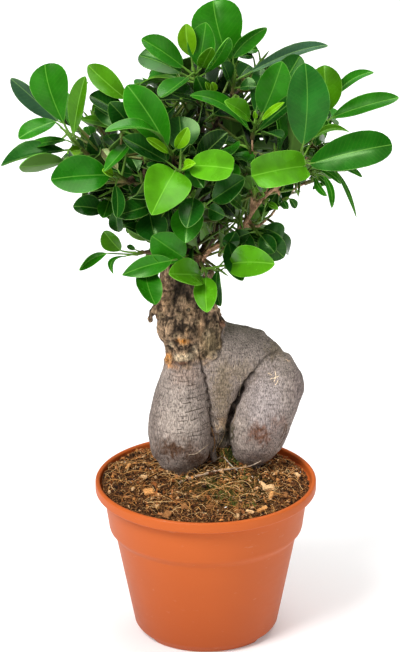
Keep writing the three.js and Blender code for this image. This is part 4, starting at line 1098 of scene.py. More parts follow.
# By how much of its own thickness each side of a branch moves in, and the share by which its bark is made
# lighter as painted light, for the right branch in the open, and darker as painted shade, for the
# branches inside the crown.
BRANCH_SLIMMING = {
    "right": 0.3, "centre": 0.2, "high": 0.2, "left": 0.17, "back": 0.17, "back_right": 0.17,
}
BRANCH_PAINTED_LIGHT = {
    "right": 2.5, "centre": 0.3, "high": 0.25, "left": 0.7, "back": 0.25, "back_right": 0.3,
}
TWIG_LIGHT = (0.36, 0.22, 0.13)
TWIG_DARK = (0.1, 0.05, 0.028)

twig_bark, tree, shader = new_material("twig_bark")
flecks = clouds_of(tree, add_node(tree, "TexCoord", output="Object"), 420, 5, 0.7)
tone = toned(tree, flecks, (0.35, TWIG_DARK), (0.65, TWIG_LIGHT))
own = add_node(tree, "Attribute", attribute_name="own_colour")
feed(shader, {
    "Base Color": add_node(tree, "VectorMath", {0: tone, 1: own}, operation="MULTIPLY"),
    "Roughness": 0.75,
    "Normal": bumps_of(tree, flecks, 0.3 * MM, 0.7),
    "Specular IOR Level": 0.3,
})


def slimmed(piece, share):
    """The points of a piece, each moved inwards by a share of the thickness behind it."""
    points, normals, tree = points_of(piece), normals_of(piece), tree_of(piece)
    moves = []
    for point, normal in zip(points, normals):
        inwards = Vector(-normal)
        _, _, _, thickness = tree.ray_cast(Vector(point) + inwards * 0.05 * MM, inwards, 10 * MM)
        moves.append(share * (thickness or 0))
    return points - normals * np.array(moves)[:, None]


wood = []
for name in BRANCHES:
    branch = merged_copy("branch_" + name, "branch_wood_" + name)
    grow_skin(branch, BRANCH_VOXEL, BRANCH_ROUNDS)
    set_points(branch, slimmed(branch, BRANCH_SLIMMING[name]))
    twig_points = points_of(branch)
    relief = 0.22 * noise_at(twig_points, 0.8, 0) + 0.25 * noise_at(twig_points, 0.3, 4)
    set_points(branch, twig_points + normals_of(branch) * relief[:, None] * MM)
    # Each branch's own colour carries its painted light and shade.
    give(branch, "own_colour", np.tile(rgba([BRANCH_PAINTED_LIGHT[name]] * 3), (len(twig_points), 1)))
    branch.data.materials.append(twig_bark)
    shade_smooth(branch, 80)
    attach(branch, "root")
    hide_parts("branch_" + name)
    wood.append(branch)

# The leafy sprays: each is a green shoot with a pointed bud, and glossy leathery leaves on short
# stalks. A blade is thin, folded a little along its midrib, and has a fine pale rim.

BLADE_THICKNESS = 0.42 * MM
BLADE_BASE = 0.72
BLADE_END = 0.52
BLADE_FULLNESS = 2.32
BUD_LENGTH = 2.2 * MM
# In a CAD node: the fold of a blade, the length of the short edges at its sides, and how far along
# it its rings of points lie, by how many points its tip joins.
BLADE_FOLD = math.radians(14)
SHORT_EDGE = 0.8 * MM
FAR_STATIONS = {4: (0.34, 0.74), 6: (0.2, 0.5, 0.8)}
# How far every blade keeps inside the box of the CAD model.
ROOM = 0.05 * MM


def blade_share(along):
    """How wide a blade is along its length, as a share of its full width."""
    return along**BLADE_BASE * (1 - along) ** BLADE_END * BLADE_FULLNESS


def blade_template(columns, rows):
    """A blade in shares: x across from -1 to 1, y from the stalk to the tip, z in its thickness."""
    deselect_all()
    bpy.ops.mesh.primitive_grid_add(x_subdivisions=columns, y_subdivisions=rows, size=2)
    blade = bpy.context.object
    flat = points_of(blade)
    along = (flat[:, 1] + 1) / 2
    along = 0.5 - 0.5 * np.cos(math.pi * along ** 0.9)
    across = np.sign(flat[:, 0]) * np.abs(flat[:, 0]) ** 0.85
    set_points(blade, np.c_[across * blade_share(along), along, np.zeros(len(flat))])
    open_mesh()
    bpy.ops.mesh.remove_doubles(threshold=1e-5)
    bpy.ops.object.mode_set(mode="OBJECT")
    apply_modifier(blade, "SOLIDIFY", thickness=2, offset=0)
    return blade


def short_pairs(ring, near, points):
    """The pairs of points of a ring that lie one blade thickness apart."""
    pairs = []
    for a in ring:
        for b in ring:
            if a < b and b in near[a]:
                if abs(np.linalg.norm(points[a] - points[b]) - SHORT_EDGE) < 0.03 * MM:
                    pairs.append((a, b))
    return pairs


def middle_of(points, ring):
    return points[sorted(ring)].mean(axis=0)


def read_spray(node):
    """What the CAD node of a spray says: its shoot from foot to bud, and its leaves in order.
    A leaf is its root on the shoot, its neck, the control point of its arch, its tip, the
    direction that its face looks, and its width."""
    copy = merged_copy(node, "copy_of_" + node)
    points = points_of(copy)
    near = [set() for _ in points]
    for edge in copy.data.edges:
        a, b = edge.vertices
        near[a].add(b)
        near[b].add(a)
    bpy.data.objects.remove(copy)
    leaves, of_leaves = [], set()
    for tip, ring in enumerate(near):
        if len(ring) not in FAR_STATIONS:
            continue
        pairs = short_pairs(ring, near, points)
        own_pairs = short_pairs(ring | {tip}, near, points)
        if len(pairs) != 2 or set(pairs[0]) & set(pairs[1]) or len(own_pairs) != 2:
            continue
        stations = FAR_STATIONS[len(ring)]
        rings, seen = [ring], {tip} | ring
        for _ in stations:
            ring = set().union(*(near[i] for i in rings[-1])) - seen
            rings.append(ring)
            seen |= ring
        stalk = rings.pop()
        root = set().union(*(near[i] for i in stalk)) - seen
        of_leaves |= seen
        neck = middle_of(points, stalk)
        along = unit(points[tip] - neck)
        bulge, control, width = np.zeros(3), np.zeros(3), 0
        for station, ring in zip(reversed(stations), rings):
            (a, b), (c, d) = short_pairs(ring, near, points)
            half = (points[a] + points[b] - points[c] - points[d]) / 4
            middle = (points[a] + points[b] + points[c] + points[d]) / 4
            bulge = middle - neck
            up = unit(points[a] - points[b])
            up = up if up @ (bulge - along * (bulge @ along)) > 0 else -up
            reach = np.linalg.norm(half)
            spine = middle - up * reach * math.tan(BLADE_FOLD)
            share = 2 * station * (1 - station)
            control += (spine - (1 - station) ** 2 * neck - station**2 * points[tip]) / share
            width += 2 * reach / math.cos(BLADE_FOLD) / blade_share(station)
            sideways = half
        right = unit(sideways)
        face = unit(np.cross(right, along))
        face = face if face @ (middle_of(points, rings[-1]) - neck) > 0 else -face
        leaves.append({
            "root": middle_of(points, root), "neck": neck, "control": control / len(stations),
            "tip": points[tip], "face": face, "width": width / len(stations),
        })
    shoot = np.array([points[i] for i in range(len(points)) if i not in of_leaves])
    middle = shoot.mean(axis=0)
    axis = np.linalg.svd(shoot - middle)[2][0]
    reach = (shoot - middle) @ axis
    if np.sum(reach > reach.max() - 0.5 * MM) != 1:
        axis, reach = -axis, -reach
    foot = middle + axis * reach.min()
    bud = middle + axis * (reach.max() - BUD_LENGTH)
    leaves.sort(key=lambda leaf: (leaf["root"] - foot) @ axis)
    return foot, bud, leaves


sprays = {}
for name in sorted(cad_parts):
    if name.startswith("spray_"):
        sprays[name.removeprefix("spray_")] = read_spray(name)


def widest(base, end):
    """The greatest value of along**base * (1 - along)**end."""
    peak = base / (base + end)
    return peak**base * (1 - peak) ** end


def laid_blade(shares, leaf, stalk, draw):
    """The points of a blade template laid on a leaf's arch from where its stalk ends, with what
    its paint reads: how far each point lies across the blade, along it and from its rim."""
    neck, control, tip = leaf["neck"], leaf["control"], leaf["tip"]
    half = leaf["width"] / 2
    along = shares[:, 1:2]
    t = stalk + (1 - stalk) * along
    spine = (1 - t) ** 2 * neck + 2 * t * (1 - t) * control + t**2 * tip
    tangent = (1 - t) * (control - neck) + t * (tip - control)
    tangent /= np.maximum(np.linalg.norm(tangent, axis=1, keepdims=True), 1e-9)
    right = unit(np.cross(unit(tip - neck), leaf["face"]))
    face = np.cross(right, tangent)
    length = np.linalg.norm(tip - neck) * (1 - stalk)
    base, end = leaf.get("outline") or (draw.uniform(0.75, 1.0), draw.uniform(0.55, 0.8))
    inside = np.clip(along, 1e-3, 1 - 1e-3)
    own_outline = inside ** (base - BLADE_BASE) * (1 - inside) ** (end - BLADE_END)
    across = shares[:, 0:1] * own_outline / widest(base, end) / BLADE_FULLNESS
    gap = np.abs(across)
    fold = draw.uniform(0.26, 0.5) * gap**1.5 * half
    wave_count, wave_start = draw.uniform(1.2, 2.6), draw.uniform(0, 6)
    wave = np.sin(wave_count * 2 * math.pi * along + wave_start)
    waves = draw.uniform(0.15, 0.07 * half / MM) * MM * wave
    ripple = waves * gap**2 * np.where(across > 0, 1, -0.6)
    curl = draw.uniform(-0.05, 0.02) * length * along**3
    twist = draw.uniform(-0.12, 0.12) * along * across * half
    off_rib = across * half / (0.45 * MM)
    groove = -0.22 * MM * np.exp(-(off_rib**2)) * np.minimum(1, 6 * (1 - along))
    height = fold + ripple + groove + curl + twist + shares[:, 2:3] * BLADE_THICKNESS / 2
    bow = draw.uniform(-0.03, 0.03) * length * 4 * along * (1 - along)
    points = spine + right * (across * half + bow) + face * height
    points = np.clip(points, np.array(cad_box[0]) + ROOM, np.array(cad_box[1]) - ROOM)
    edge = blade_share(inside) * own_outline / widest(base, end) / BLADE_FULLNESS
    rim = np.maximum(edge - gap, 0) * half
    reading = np.c_[across * half, along * length, rim]
    return points, reading


# The colours of the leaves by their age, and the ages of the leaves of each front spray in order. The lit
# colour is painted light on one leaf, and grey is a painted sheen.
AGES = {
    "mature": (0.016, 0.15, 0.003),
    "dark": (0.006, 0.062, 0.004),
    "bright": (0.07, 0.265, 0.005),
    "young": (0.16, 0.4, 0.004),
    "olive": (0.045, 0.17, 0.002),
    "deep": (0.008, 0.1, 0.007),
    "full": (0.008, 0.105, 0.002),
    "lit": (0.085, 0.32, 0.006),
    "grey": (0.03, 0.085, 0.04),
    "dry": (0.19, 0.18, 0.08),
}
FRONT_AGES = {
    "left_fan": "mature dark young mature olive mature mature mature",
    "left_front": "dry mature dark young full",
    "left_low": "dark mature dark",
    "left_inner": "dark dark",
    "left_hanging": "dark mature mature olive",
    "left_centre": "dark dark",
    "low_left": "dark mature mature mature",
    "low_centre": "dark bright bright bright",
    "low_right_dark": "dark dark",
    "centre_low": "mature dark",
    "centre_dark": "dark dark",
    "centre_front": "dark dark dark bright bright young",
    "centre_upper": "mature young mature young",
    "top_left": "olive mature dark mature mature mature olive mature young",
    "top_bud": "young young",
    "top": "dark dark dark grey mature mature",
    "upper_right": "dark dark mature dark dark mature bright young young",
    "right_front": "dark olive full lit deep",
    "right_back": "mature mature olive mature",
    "right_droop": "mature mature mature mature dark mature",
    "right_under": "dark dark dark",
    "right_twig": "dark olive",
    "fork_bud": "mature olive mature",
    "low_right": "dark dark dark dark dark",
    "upper_left": "olive dark dark dark olive",
}
ROUND_AGES = ["mature", "dark", "mature", "olive", "mature"]
PALE_RIB = (0.22, 0.44, 0.06)
PALE_RIM = (0.3, 0.5, 0.1)
PALE_UNDERSIDE = (0.12, 0.23, 0.045)
VEINS_PER_METRE = 420
GREEN_SHEEN = (0.6, 1, 0.4, 1)

# A blade's own attributes say how far each point lies off the rib, along the blade and from its
# rim, and in the alpha channel of its colour whether it is on the upper side.
leaf_paint, tree, shader = new_material("leaf_blade")
own = add_node(tree, "Attribute", attribute_name="own_colour")
reading = add_node(tree, "Attribute", output="Vector", attribute_name="blade")
parts = add_node(tree, "SeparateXYZ", {"Vector": reading}).node.outputs
place = add_node(tree, "TexCoord", output="Object")
off_rib = math_of(tree, "ABSOLUTE", parts["X"])
clouds = clouds_of(tree, place, 85, 3)
green = scaled(tree, own, ranged(tree, clouds, 0.25, 0.75, 0.66, 1.34))
slanted = math_of(tree, "MULTIPLY_ADD", off_rib, -0.75, parts["Y"])
vein = ranged(tree, stripes_of(tree, slanted, VEINS_PER_METRE), 0.16, 0, 0, 0.035)
veined = mixed(tree, vein, green, rgba(PALE_RIB))
underside = math_of(tree, "SUBTRACT", 1, own.node.outputs["Alpha"])
both_sides = mixed(tree, math_of(tree, "MULTIPLY", underside, 0.7), veined, rgba(PALE_UNDERSIDE))
pale_line = mixed(tree, 0.4, scaled(tree, own, 2.2), rgba(PALE_RIM))
ribbed = mixed(tree, ranged(tree, off_rib, 0.34 * MM, 0.12 * MM, 0, 0.6), both_sides, pale_line)
rim = ranged(tree, parts["Z"], 0.38 * MM, 0.1 * MM)
patchy_rim = math_of(tree, "MULTIPLY", rim, ranged(tree, clouds, 0.38, 0.6, 0.2, 0.9))
gloss = ranged(tree, clouds, 0, 1, 0.19, 0.34)
leather = bumps_of(tree, clouds_of(tree, place, 85, 1), 1.1 * MM, 0.35)
feed(shader, {
    "Base Color": mixed(tree, patchy_rim, ribbed, pale_line),
    "Roughness": math_of(tree, "MULTIPLY_ADD", underside, 0.2, gloss),
    "Normal": bumps_of(tree, vein, 0.15 * MM, 0.3, leather),
    "Specular IOR Level": 0.35,
    "Specular Tint": GREEN_SHEEN,
})

fine_blade = blade_template(10, 14)
fine_shares = points_of(fine_blade)
STALK_STRETCHES = 6
STALK_TAPER = [1.25, 1.0, 0.9, 0.85, 0.8, 0.6, 0.3]
stalk_rod = rod_template(7, STALK_STRETCHES)
stalk_points = points_of(stalk_rod)
SHOOT_STRETCHES = 14
shoot_rod = rod_template(9, SHOOT_STRETCHES)
shoot_points = points_of(shoot_rod)
SHOOT_GREEN = (0.1, 0.2, 0.025)
SHOOT_BROWN = (0.16, 0.1, 0.05)
STALK_GREEN = (0.14, 0.28, 0.04)
SHOOT_RADIUS = 1.25 * MM


def paint_rod(piece):
    """A stalk or shoot has no rib or rim, so it says that both are far away."""
    give(piece, "blade", np.tile((5 * MM, 0, 5 * MM), (len(piece.data.vertices), 1)))


def leaf_copies(leaf, stalk, colour, template, shares, draw):
    """The blade and the stalk of a leaf, as two copies of their templates."""
    points, reading = laid_blade(shares, leaf, stalk, draw)
    blade = laid_copy(template, points, colour)
    give(blade, "blade", reading)
    own = np.tile(rgba(colour), (len(points), 1))
    own[:, 3] = shares[:, 2] > 0
    give(blade, "own_colour", own)
    neck, control, root = leaf["neck"], leaf["control"], leaf["root"]
    inside = neck + (control - neck) * 2 * (stalk + 0.05)
    path = []
    for i in range(STALK_STRETCHES + 1):
        t = i / STALK_STRETCHES
        path.append((1 - t) ** 2 * root + 2 * t * (1 - t) * neck + t**2 * inside)
    thick = min(0.75, 0.35 + 0.022 * leaf["width"] / MM) * MM
    radii = [thick * share for share in STALK_TAPER]
    rod = laid_copy(stalk_rod, bent_rod(stalk_points, path, radii), STALK_GREEN)
    paint_rod(rod)
    return [blade, rod]


def shoot_copy(foot, bud, radius):
    """A shoot from its foot to the pointed bud at its end, with small swellings along its length."""
    axis = unit(bud - foot)
    whole = np.linalg.norm(bud - foot) + BUD_LENGTH
    path, radii = [], []
    for i in range(SHOOT_STRETCHES + 1):
        t = i / SHOOT_STRETCHES
        path.append(foot + axis * (t * (whole + 0.6 * MM) - 0.6 * MM))
        taper = min(1, (1 - t) * whole / (BUD_LENGTH + 0.8 * MM))
        knotty = 1 + 0.07 * math.sin(9 * i)
        radii.append(max(0.05 * MM, radius * (1 - 0.3 * t) * taper**0.7 * knotty))
    shoot = laid_copy(shoot_rod, bent_rod(shoot_points, path, radii), SHOOT_GREEN)
    mix = np.clip(1 - shoot_points[:, 2:3] * 1.6, 0, 1)
    own = np.array(SHOOT_BROWN) * mix + np.array(SHOOT_GREEN) * (1 - mix)
    give(shoot, "own_colour", np.c_[own, np.ones(len(mix))])
    paint_rod(shoot)
    return shoot


def finish_leaves(pieces, name):
    """Shoots, stalks and blades joined into one piece with the leaf's paint."""
    whole = joined(pieces, name)
    whole.data.materials.clear()
    whole.data.materials.append(leaf_paint)
    shade_smooth(whole, 40)
    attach(whole, "root")
    return whole


# Leaves that the photograph shows more exactly: the pixels of the tip and of the neck, the width in
# pixels, the outline, as the two powers that shape its foot and its end, and at times a pixel of
# the middle of the rib.
ROUND = (1.1, 0.55)
OVAL = (0.8, 0.66)
POINTED = (0.85, 0.85)
HEART = (0.55, 0.8)
PHOTO_LEAVES = {
    ("left_rear_end", 2): ((11, 78), (63, 125), 17, OVAL, (35, 102)),
    ("left_fan", 7): ((45, 64), (66, 128), 38, ROUND, (52, 93)),
    ("left_fan", 5): ((19, 139), (58, 121), 17, OVAL, (37, 128)),
    ("left_fan", 4): ((84, 77), (73, 137), 17, OVAL, (79, 106)),
    ("left_fan", 3): ((20, 149), (69, 140), 9, POINTED, (44, 142)),
    ("left_fan", 0): ((20, 167), (66, 161), 19, OVAL, (43, 164)),
    ("left_front", 1): ((104, 171), (129, 142), 13, POINTED, (120, 155)),
    ("left_front", 2): ((117, 218), (115, 183), 12, OVAL),
    ("left_front", 4): ((51, 179), (114, 175), 36, OVAL),
    ("left_low", 0): ((118, 232), (116, 207), 14, OVAL),
    ("left_low", 1): ((103, 218), (109, 200), 17, OVAL),
    ("left_low", 2): ((73, 206), (105, 210), 20, OVAL, (90, 208)),
    ("left_hanging", 0): ((127, 246), (136, 250), 5, OVAL),
    ("left_hanging", 3): ((104, 231), (122, 252), 17, OVAL),
    ("left_hanging", 2): ((81, 270), (109, 253), 10, OVAL, (93, 259)),
    ("left_hanging", 1): ((113, 274), (128, 256), 6, POINTED, (113, 261)),
    ("upper_left", 4): ((88, 65), (128, 100), 22, OVAL, (106, 84)),
    ("centre_upper", 2): ((127, 85), (171, 152), 35, OVAL),
    ("centre_front", 3): ((152, 214), (176, 169), 45, HEART),
    ("centre_front", 4): ((233, 169), (188, 166), 30, (0.45, 0.26)),
    ("right_front", 3): ((254, 175), (308, 166), 33, (0.24, 0.14)),
    ("right_front", 4): ((305, 63), (302, 149), 41, OVAL, (308, 106)),
    ("right_front", 2): ((392, 144), (304, 166), 34, (0.6, 0.45), (350, 153)),
    ("right_front", 1): ((349, 132), (312, 140), 7, POINTED, (330, 129)),
    ("right_back", 0): ((399, 98), (327, 120), 17, OVAL, (362, 106)),
    ("right_back", 1): ((374, 71), (332, 100), 11, OVAL, (350, 79)),
    ("right_back", 2): ((324, 65), (329, 113), 34, OVAL),
    ("right_droop", 0): ((356, 218), (332, 168), 4, POINTED, (347, 187)),
    ("right_droop", 1): ((332, 208), (322, 174), 7, OVAL, (331, 189)),
    ("right_droop", 2): ((327, 196), (315, 176), 7, OVAL),
    ("right_droop", 3): ((362, 177), (338, 167), 6, OVAL, (350, 169)),
    ("right_droop", 4): ((333, 190), (316, 174), 6, OVAL),
    ("right_droop", 5): ((341, 184), (316, 169), 7, OVAL, (330, 173)),
    ("right_under", 1): ((288, 209), (283, 200), 6, OVAL),
    ("right_under", 2): ((296, 208), (289, 198), 7, OVAL),
    ("right_twig", 1): ((278, 209), (268, 203), 6, OVAL),
    ("upper_right", 2): ((190, 95), (252, 134), 13, OVAL, (224, 106)),
    ("upper_right", 1): ((302, 96), (254, 134), 14, OVAL, (283, 110)),
    ("top", 4): ((213, 0), (231, 66), 50, (1.0, 0.56), (221, 33)),
    ("top", 5): ((267, 28), (232, 60), 15, OVAL, (244, 42)),
    ("top", 3): ((329, 44), (242, 77), 12, OVAL, (290, 54)),
    ("top_left", 8): ((186, 24), (192, 59), 18, OVAL, (188, 41)),
    ("low_left", 1): ((122, 275), (176, 260), 20, (0.75, 0.95), (148, 265)),
    ("low_left", 3): ((155, 305), (145, 263), 24, OVAL, (147, 284)),
    ("low_left", 2): ((152, 236), (186, 259), 33, OVAL),
    ("low_centre", 0): ((220, 306), (218, 268), 12, OVAL),
    ("low_centre", 1): ((169, 274), (203, 276), 28, OVAL),
    ("low_centre", 2): ((275, 264), (226, 265), 31, OVAL),
    ("low_centre", 3): ((207, 312), (206, 276), 23, OVAL),
    ("low_right_dark", 1): ((243, 281), (228, 240), 19, OVAL),
}
# Leaves that hang nearer to the camera than their nodes do, or less near, and one that is seen from
# below.
NEARER = {("low_left", 1): 15 * MM, ("low_left", 3): -8 * MM}
TURNED_OVER = ("left_fan", 0)
PIXEL_MM = 0.537 * MM
WIDEST_LEAF = 30 * MM
# A blade is turned to the camera until it shows at least this share of its width.
LEAST_SHOWN = 0.8


def brought_to(point, pixel, nearer=0):
    """A point moved to a pixel of the photograph, at the distance it had or a little nearer."""
    reach = np.linalg.norm(point - np.array(CAMERA_PLACE)) - nearer
    return np.array(CAMERA_PLACE + sight_line(*pixel) * reach)


for (name, place), (tip_pixel, neck_pixel, width, outline, *middle) in PHOTO_LEAVES.items():
    leaf = sprays[name][2][place]
    nearer = NEARER.get((name, place), 0)
    tip = brought_to(leaf["tip"], tip_pixel, nearer)
    neck = brought_to(leaf["neck"], neck_pixel, nearer)
    leaf["control"] = leaf["control"] + (tip - leaf["tip"] + neck - leaf["neck"]) / 2
    leaf["tip"], leaf["neck"], leaf["outline"] = tip, neck, outline
    if middle:
        half_way = brought_to((tip + neck) / 4 + leaf["control"] / 2, middle[0])
        leaf["control"] = 2 * half_way - (tip + neck) / 2
    along = unit(tip - neck)
    towards = np.array(sight_line(*tip_pixel))
    side_seen = 1 if (name, place) == TURNED_OVER else -1
    if leaf["face"] @ towards * side_seen < 0:
        leaf["face"] = -leaf["face"]
    shown = 0
    while shown < LEAST_SHOWN:
        leaf["face"] = unit(leaf["face"] - along * (leaf["face"] @ along))
        across = np.cross(along, leaf["face"])
        shown = np.linalg.norm(across - towards * (across @ towards))
        leaf["face"] = leaf["face"] + 0.2 * side_seen * towards
    leaf["face"] = unit(leaf["face"] - along * (leaf["face"] @ along))
    leaf["width"] = min(width * PIXEL_MM / shown, WIDEST_LEAF)

# The edge of the crown in the photograph.
CROWN_EDGE_PIXELS = [
    (94, 90), (120, 98), (140, 74), (165, 75), (190, 60), (205, 30), (218, 30), (230, 48), (240, 62),
    (252, 80), (270, 66), (290, 66), (312, 68), (325, 88), (322, 120), (330, 135), (320, 156), (316, 172),
    (300, 184), (290, 198), (274, 204), (262, 218), (272, 230), (278, 242), (270, 244), (255, 240),
    (234, 262), (224, 270), (200, 255), (180, 262), (155, 262), (140, 256), (128, 236), (116, 222),
    (100, 208), (88, 198), (80, 190), (62, 184), (60, 165), (62, 155), (72, 145), (86, 124), (96, 108),
]


def within_edge(px, py):
    """Whether a pixel lies within the edge of the crown."""
    inside = False
    corners = zip(CROWN_EDGE_PIXELS, CROWN_EDGE_PIXELS[1:] + CROWN_EDGE_PIXELS[:1])
    for (ax, ay), (bx, by) in corners:
        if (ay > py) != (by > py) and px < ax + (py - ay) / (by - ay) * (bx - ax):
            inside = not inside
    return inside


MOST_PULLS = 12
MOST_SHOWN = 0.04
PLAIN_STALK = 0.06
CROWN_CORE = (5 * MM, 25 * MM)
probe = [i for i in range(len(fine_shares)) if fine_shares[i, 2] > 0][::4]


def drawn_in(leaf):
    """Bends and shortens a leaf of the rear until it doesn't show beyond the crown in front."""
    for _ in range(MOST_PULLS):
        points = laid_blade(fine_shares[probe], leaf, PLAIN_STALK, random.Random(1))[0]
        shown = 0
        for point, pixel in zip(points, photo_pixels(points)):
            line = Vector(point) - CAMERA_PLACE
            if not within_edge(*pixel) and front_tree.ray_cast(CAMERA_PLACE, line)[0] is None:
                shown += 1
        if shown <= MOST_SHOWN * len(points):
            break
        inner = np.array((*CROWN_CORE, leaf["neck"][2]))
        reach = np.linalg.norm(leaf["tip"] - leaf["neck"])
        heading = unit(unit(leaf["tip"] - leaf["neck"]) + 0.22 * unit(inner - leaf["neck"]))
        leaf["tip"] = leaf["neck"] + heading * reach * 0.9
        leaf["control"] = (leaf["neck"] + leaf["tip"]) / 2 + leaf["face"] * 0.12 * reach
        leaf["width"] *= 0.92


# One leaf is painted greyish, as a painted sheen.
GREY_LEAF = ("left_rear_end", 2)
SPRAY_SEED = 300


def dressed_spray(name, ages, draw):
    """The shoot of a spray with its stalks and blades, in place of its node."""
    foot, bud, leaves = sprays[name]
    pieces = [shoot_copy(foot, bud, SHOOT_RADIUS)]
    for place, (leaf, age) in enumerate(zip(leaves, ages, strict=True)):
        age = "grey" if (name, place) == GREY_LEAF else age
        colour = np.array(AGES[age]) * draw.uniform(0.82, 1.2)
        pieces += leaf_copies(leaf, draw.uniform(0.04, 0.08), colour, fine_blade, fine_shares, draw)
    whole = finish_leaves(pieces, "leaves_" + name)
    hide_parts("spray_" + name)
    return whole


foliage = []
for number, name in enumerate(sprays):
    if name in FRONT_AGES:
        ages = FRONT_AGES[name].split()
        foliage.append(dressed_spray(name, ages, random.Random(SPRAY_SEED + number)))
front_tree = tree_of(*foliage)
for number, name in enumerate(sprays):
    if name not in FRONT_AGES:
        draw = random.Random(SPRAY_SEED + number)
        for place, leaf in enumerate(sprays[name][2]):
            if (name, place) not in PHOTO_LEAVES:
                drawn_in(leaf)
        ages = [draw.choice(ROUND_AGES) for _ in sprays[name][2]]
        foliage.append(dressed_spray(name, ages, draw))

# The inner foliage: between the outer sprays the crown is full of older leaves, darker than the outer
# ones and darkened further as painted shade, on thin twiglets that grow out of the branches. They fill it
# behind the leaves that the photograph shows.

# Gaps through which the photograph shows white, or a branch: a pixel and a radius in pixels.
CROWN_GAPS_PIXELS = [
    (182, 106, 4), (249, 95, 5), (269, 113, 5), (281, 125, 4), (244, 152, 5), (126, 168, 3.5),
    (136, 206, 4), (165, 213, 4), (177, 210, 3), (232, 224, 4), (209, 232, 6), (244, 236, 5),
    (140, 247, 7), (215, 262, 6), (222, 86, 3), (203, 250, 5), (215, 246, 5), (228, 238, 5),
    (238, 226, 5), (247, 214, 5), (256, 204, 5), (266, 196, 5), (275, 188, 5), (254, 193, 4),
]
INNER_SEED = 41
INNER_LEAVES = 340
INNER_TRIES = 6500
TWIGLET_LEAVES = 4
TWIGLET_LENGTHS_MM = (5, 26)
TWIGLET_RADIUS = 0.8 * MM
INNER_LENGTHS_MM = (17, 33)
INNER_STALKS_MM = (2.5, 5)
# Dark greens for the inner leaves, darkened as painted shade.
INNER_SHADED_COLOURS = [
    (0.002, 0.024, 0.002), (0.004, 0.045, 0.002), (0.002, 0.014, 0.002), (0.007, 0.07, 0.002),
]
LOWEST_LEAF = 176 * MM
LOWEST_TWIGLET = LOWEST_LEAF + 6 * MM
CROWN_AXIS_Y = 15 * MM
MOST_COVERED = 0.3
EDGE_ROOM = 2 * MM
NEIGHBOUR_REACH = 40 * MM
UP = np.array((0, 0, 1.0))

small_blade = blade_template(6, 8)
small_shares = points_of(small_blade)
small_faces = [list(face.vertices) for face in small_blade.data.polygons]
small_probe = [i for i in range(len(small_shares)) if small_shares[i, 2] > 0][::3]
spray_tree = tree_of(*foliage)
wood_tree = tree_of(trunk, *wood)


def keeps_view(points):
    """Whether points stay behind what the photograph shows: each is hidden behind a leaf, or it
    fills the crown without closing a gap, and few of them come before a leaf."""
    before = 0
    for point, (px, py) in zip(points, photo_pixels(points)):
        line = Vector(point) - CAMERA_PLACE
        place, _, _, reach = spray_tree.ray_cast(CAMERA_PLACE, line.normalized())
        if place is not None and reach < line.length:
            continue
        before += place is not None
        in_gap = any(math.hypot(px - x, py - y) < radius for x, y, radius in CROWN_GAPS_PIXELS)
        if in_gap or not within_edge(px, py):
            return False
    return before <= MOST_COVERED * len(points)


def keeps_clear(points, own_trees):
    """The search tree of a blade, if it stands clear of all other pieces and inside the box."""
    low, high = points.min(axis=0), points.max(axis=0)
    least, most = np.array(cad_box[0]) + EDGE_ROOM, np.array(cad_box[1]) - EDGE_ROOM
    if (low < least).any() or (high > most).any() or low[2] < LOWEST_LEAF:
        return None
    own_tree = BVHTree.FromPolygons([Vector(p) for p in points], small_faces)
    if own_tree.overlap(spray_tree) or own_tree.overlap(wood_tree):
        return None
    middle = points.mean(axis=0)
    for other_middle, other_tree in own_trees:
        near = np.linalg.norm(other_middle - middle) < NEIGHBOUR_REACH
        if near and own_tree.overlap(other_tree):
            return None
    return own_tree


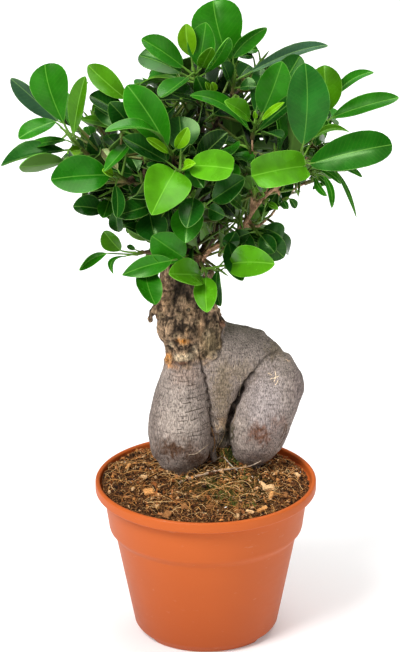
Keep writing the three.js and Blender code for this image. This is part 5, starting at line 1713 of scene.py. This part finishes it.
draw = random.Random(INNER_SEED)
wood_points = [points_of(branch) for branch in wood]
wood_normals = [normals_of(branch) for branch in wood]
inner_pieces = [[] for _ in wood]
grown = []
for _ in range(INNER_TRIES):
    if len(grown) >= INNER_LEAVES:
        break
    number = draw.choices(range(len(wood)), [len(points) for points in wood_points])[0]
    spot = draw.randrange(len(wood_points[number]))
    start, out = wood_points[number][spot], wood_normals[number][spot]
    if start[2] < LOWEST_TWIGLET:
        continue
    away = unit((start[0], start[1] - CROWN_AXIS_Y, 0))
    random_way = np.array([draw.gauss(0, 0.5) for _ in range(3)])
    way = unit(out * 0.8 + away * 0.5 + UP * 0.35 + random_way)
    length = draw.uniform(*TWIGLET_LENGTHS_MM) * MM
    end = start + way * length
    twiglet = []
    for order in range(TWIGLET_LEAVES):
        root = start + way * length * (0.45 + 0.18 * order)
        sideways = unit(np.cross(way, UP)) * math.cos(2.4 * order) + UP * math.sin(2.4 * order)
        onwards = way * draw.uniform(0.3, 0.9) + sideways + away * 0.3
        heading = unit(onwards + UP * draw.uniform(-0.3, 0.3))
        blade_length = draw.uniform(*INNER_LENGTHS_MM) * MM
        neck = root + heading * draw.uniform(*INNER_STALKS_MM) * MM
        tip = neck + unit(heading + UP * draw.uniform(-0.4, 0.2)) * blade_length
        tilt = UP * draw.uniform(0.3, 1) + away * 0.6
        face = tilt + np.array([draw.gauss(0, 0.3) for _ in range(3)])
        face = unit(face - heading * (face @ heading))
        control = (neck + tip) / 2 + face * draw.uniform(0.05, 0.2) * blade_length
        leaf = {
            "root": root, "neck": neck, "control": control, "tip": tip, "face": face,
            "width": blade_length * draw.uniform(0.42, 0.56),
        }
        own_seed = draw.random()
        points, _ = laid_blade(small_shares, leaf, PLAIN_STALK, random.Random(own_seed))
        if not keeps_view(points[small_probe]):
            continue
        own_tree = keeps_clear(points, grown)
        if own_tree is None:
            continue
        grown.append((points.mean(axis=0), own_tree))
        colour = np.array(draw.choice(INNER_SHADED_COLOURS)) * draw.uniform(0.7, 1.3)
        copies_draw = random.Random(own_seed)
        twiglet += leaf_copies(leaf, PLAIN_STALK, colour, small_blade, small_shares, copies_draw)
    if twiglet:
        inner_pieces[number] += twiglet + [shoot_copy(start, end, TWIGLET_RADIUS)]
for name, pieces in zip(BRANCHES, inner_pieces):
    if pieces:
        finish_leaves(pieces, "inner_leaves_" + name)
for template in (fine_blade, small_blade, stalk_rod, shoot_rod):
    bpy.data.objects.remove(template)

low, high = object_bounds()
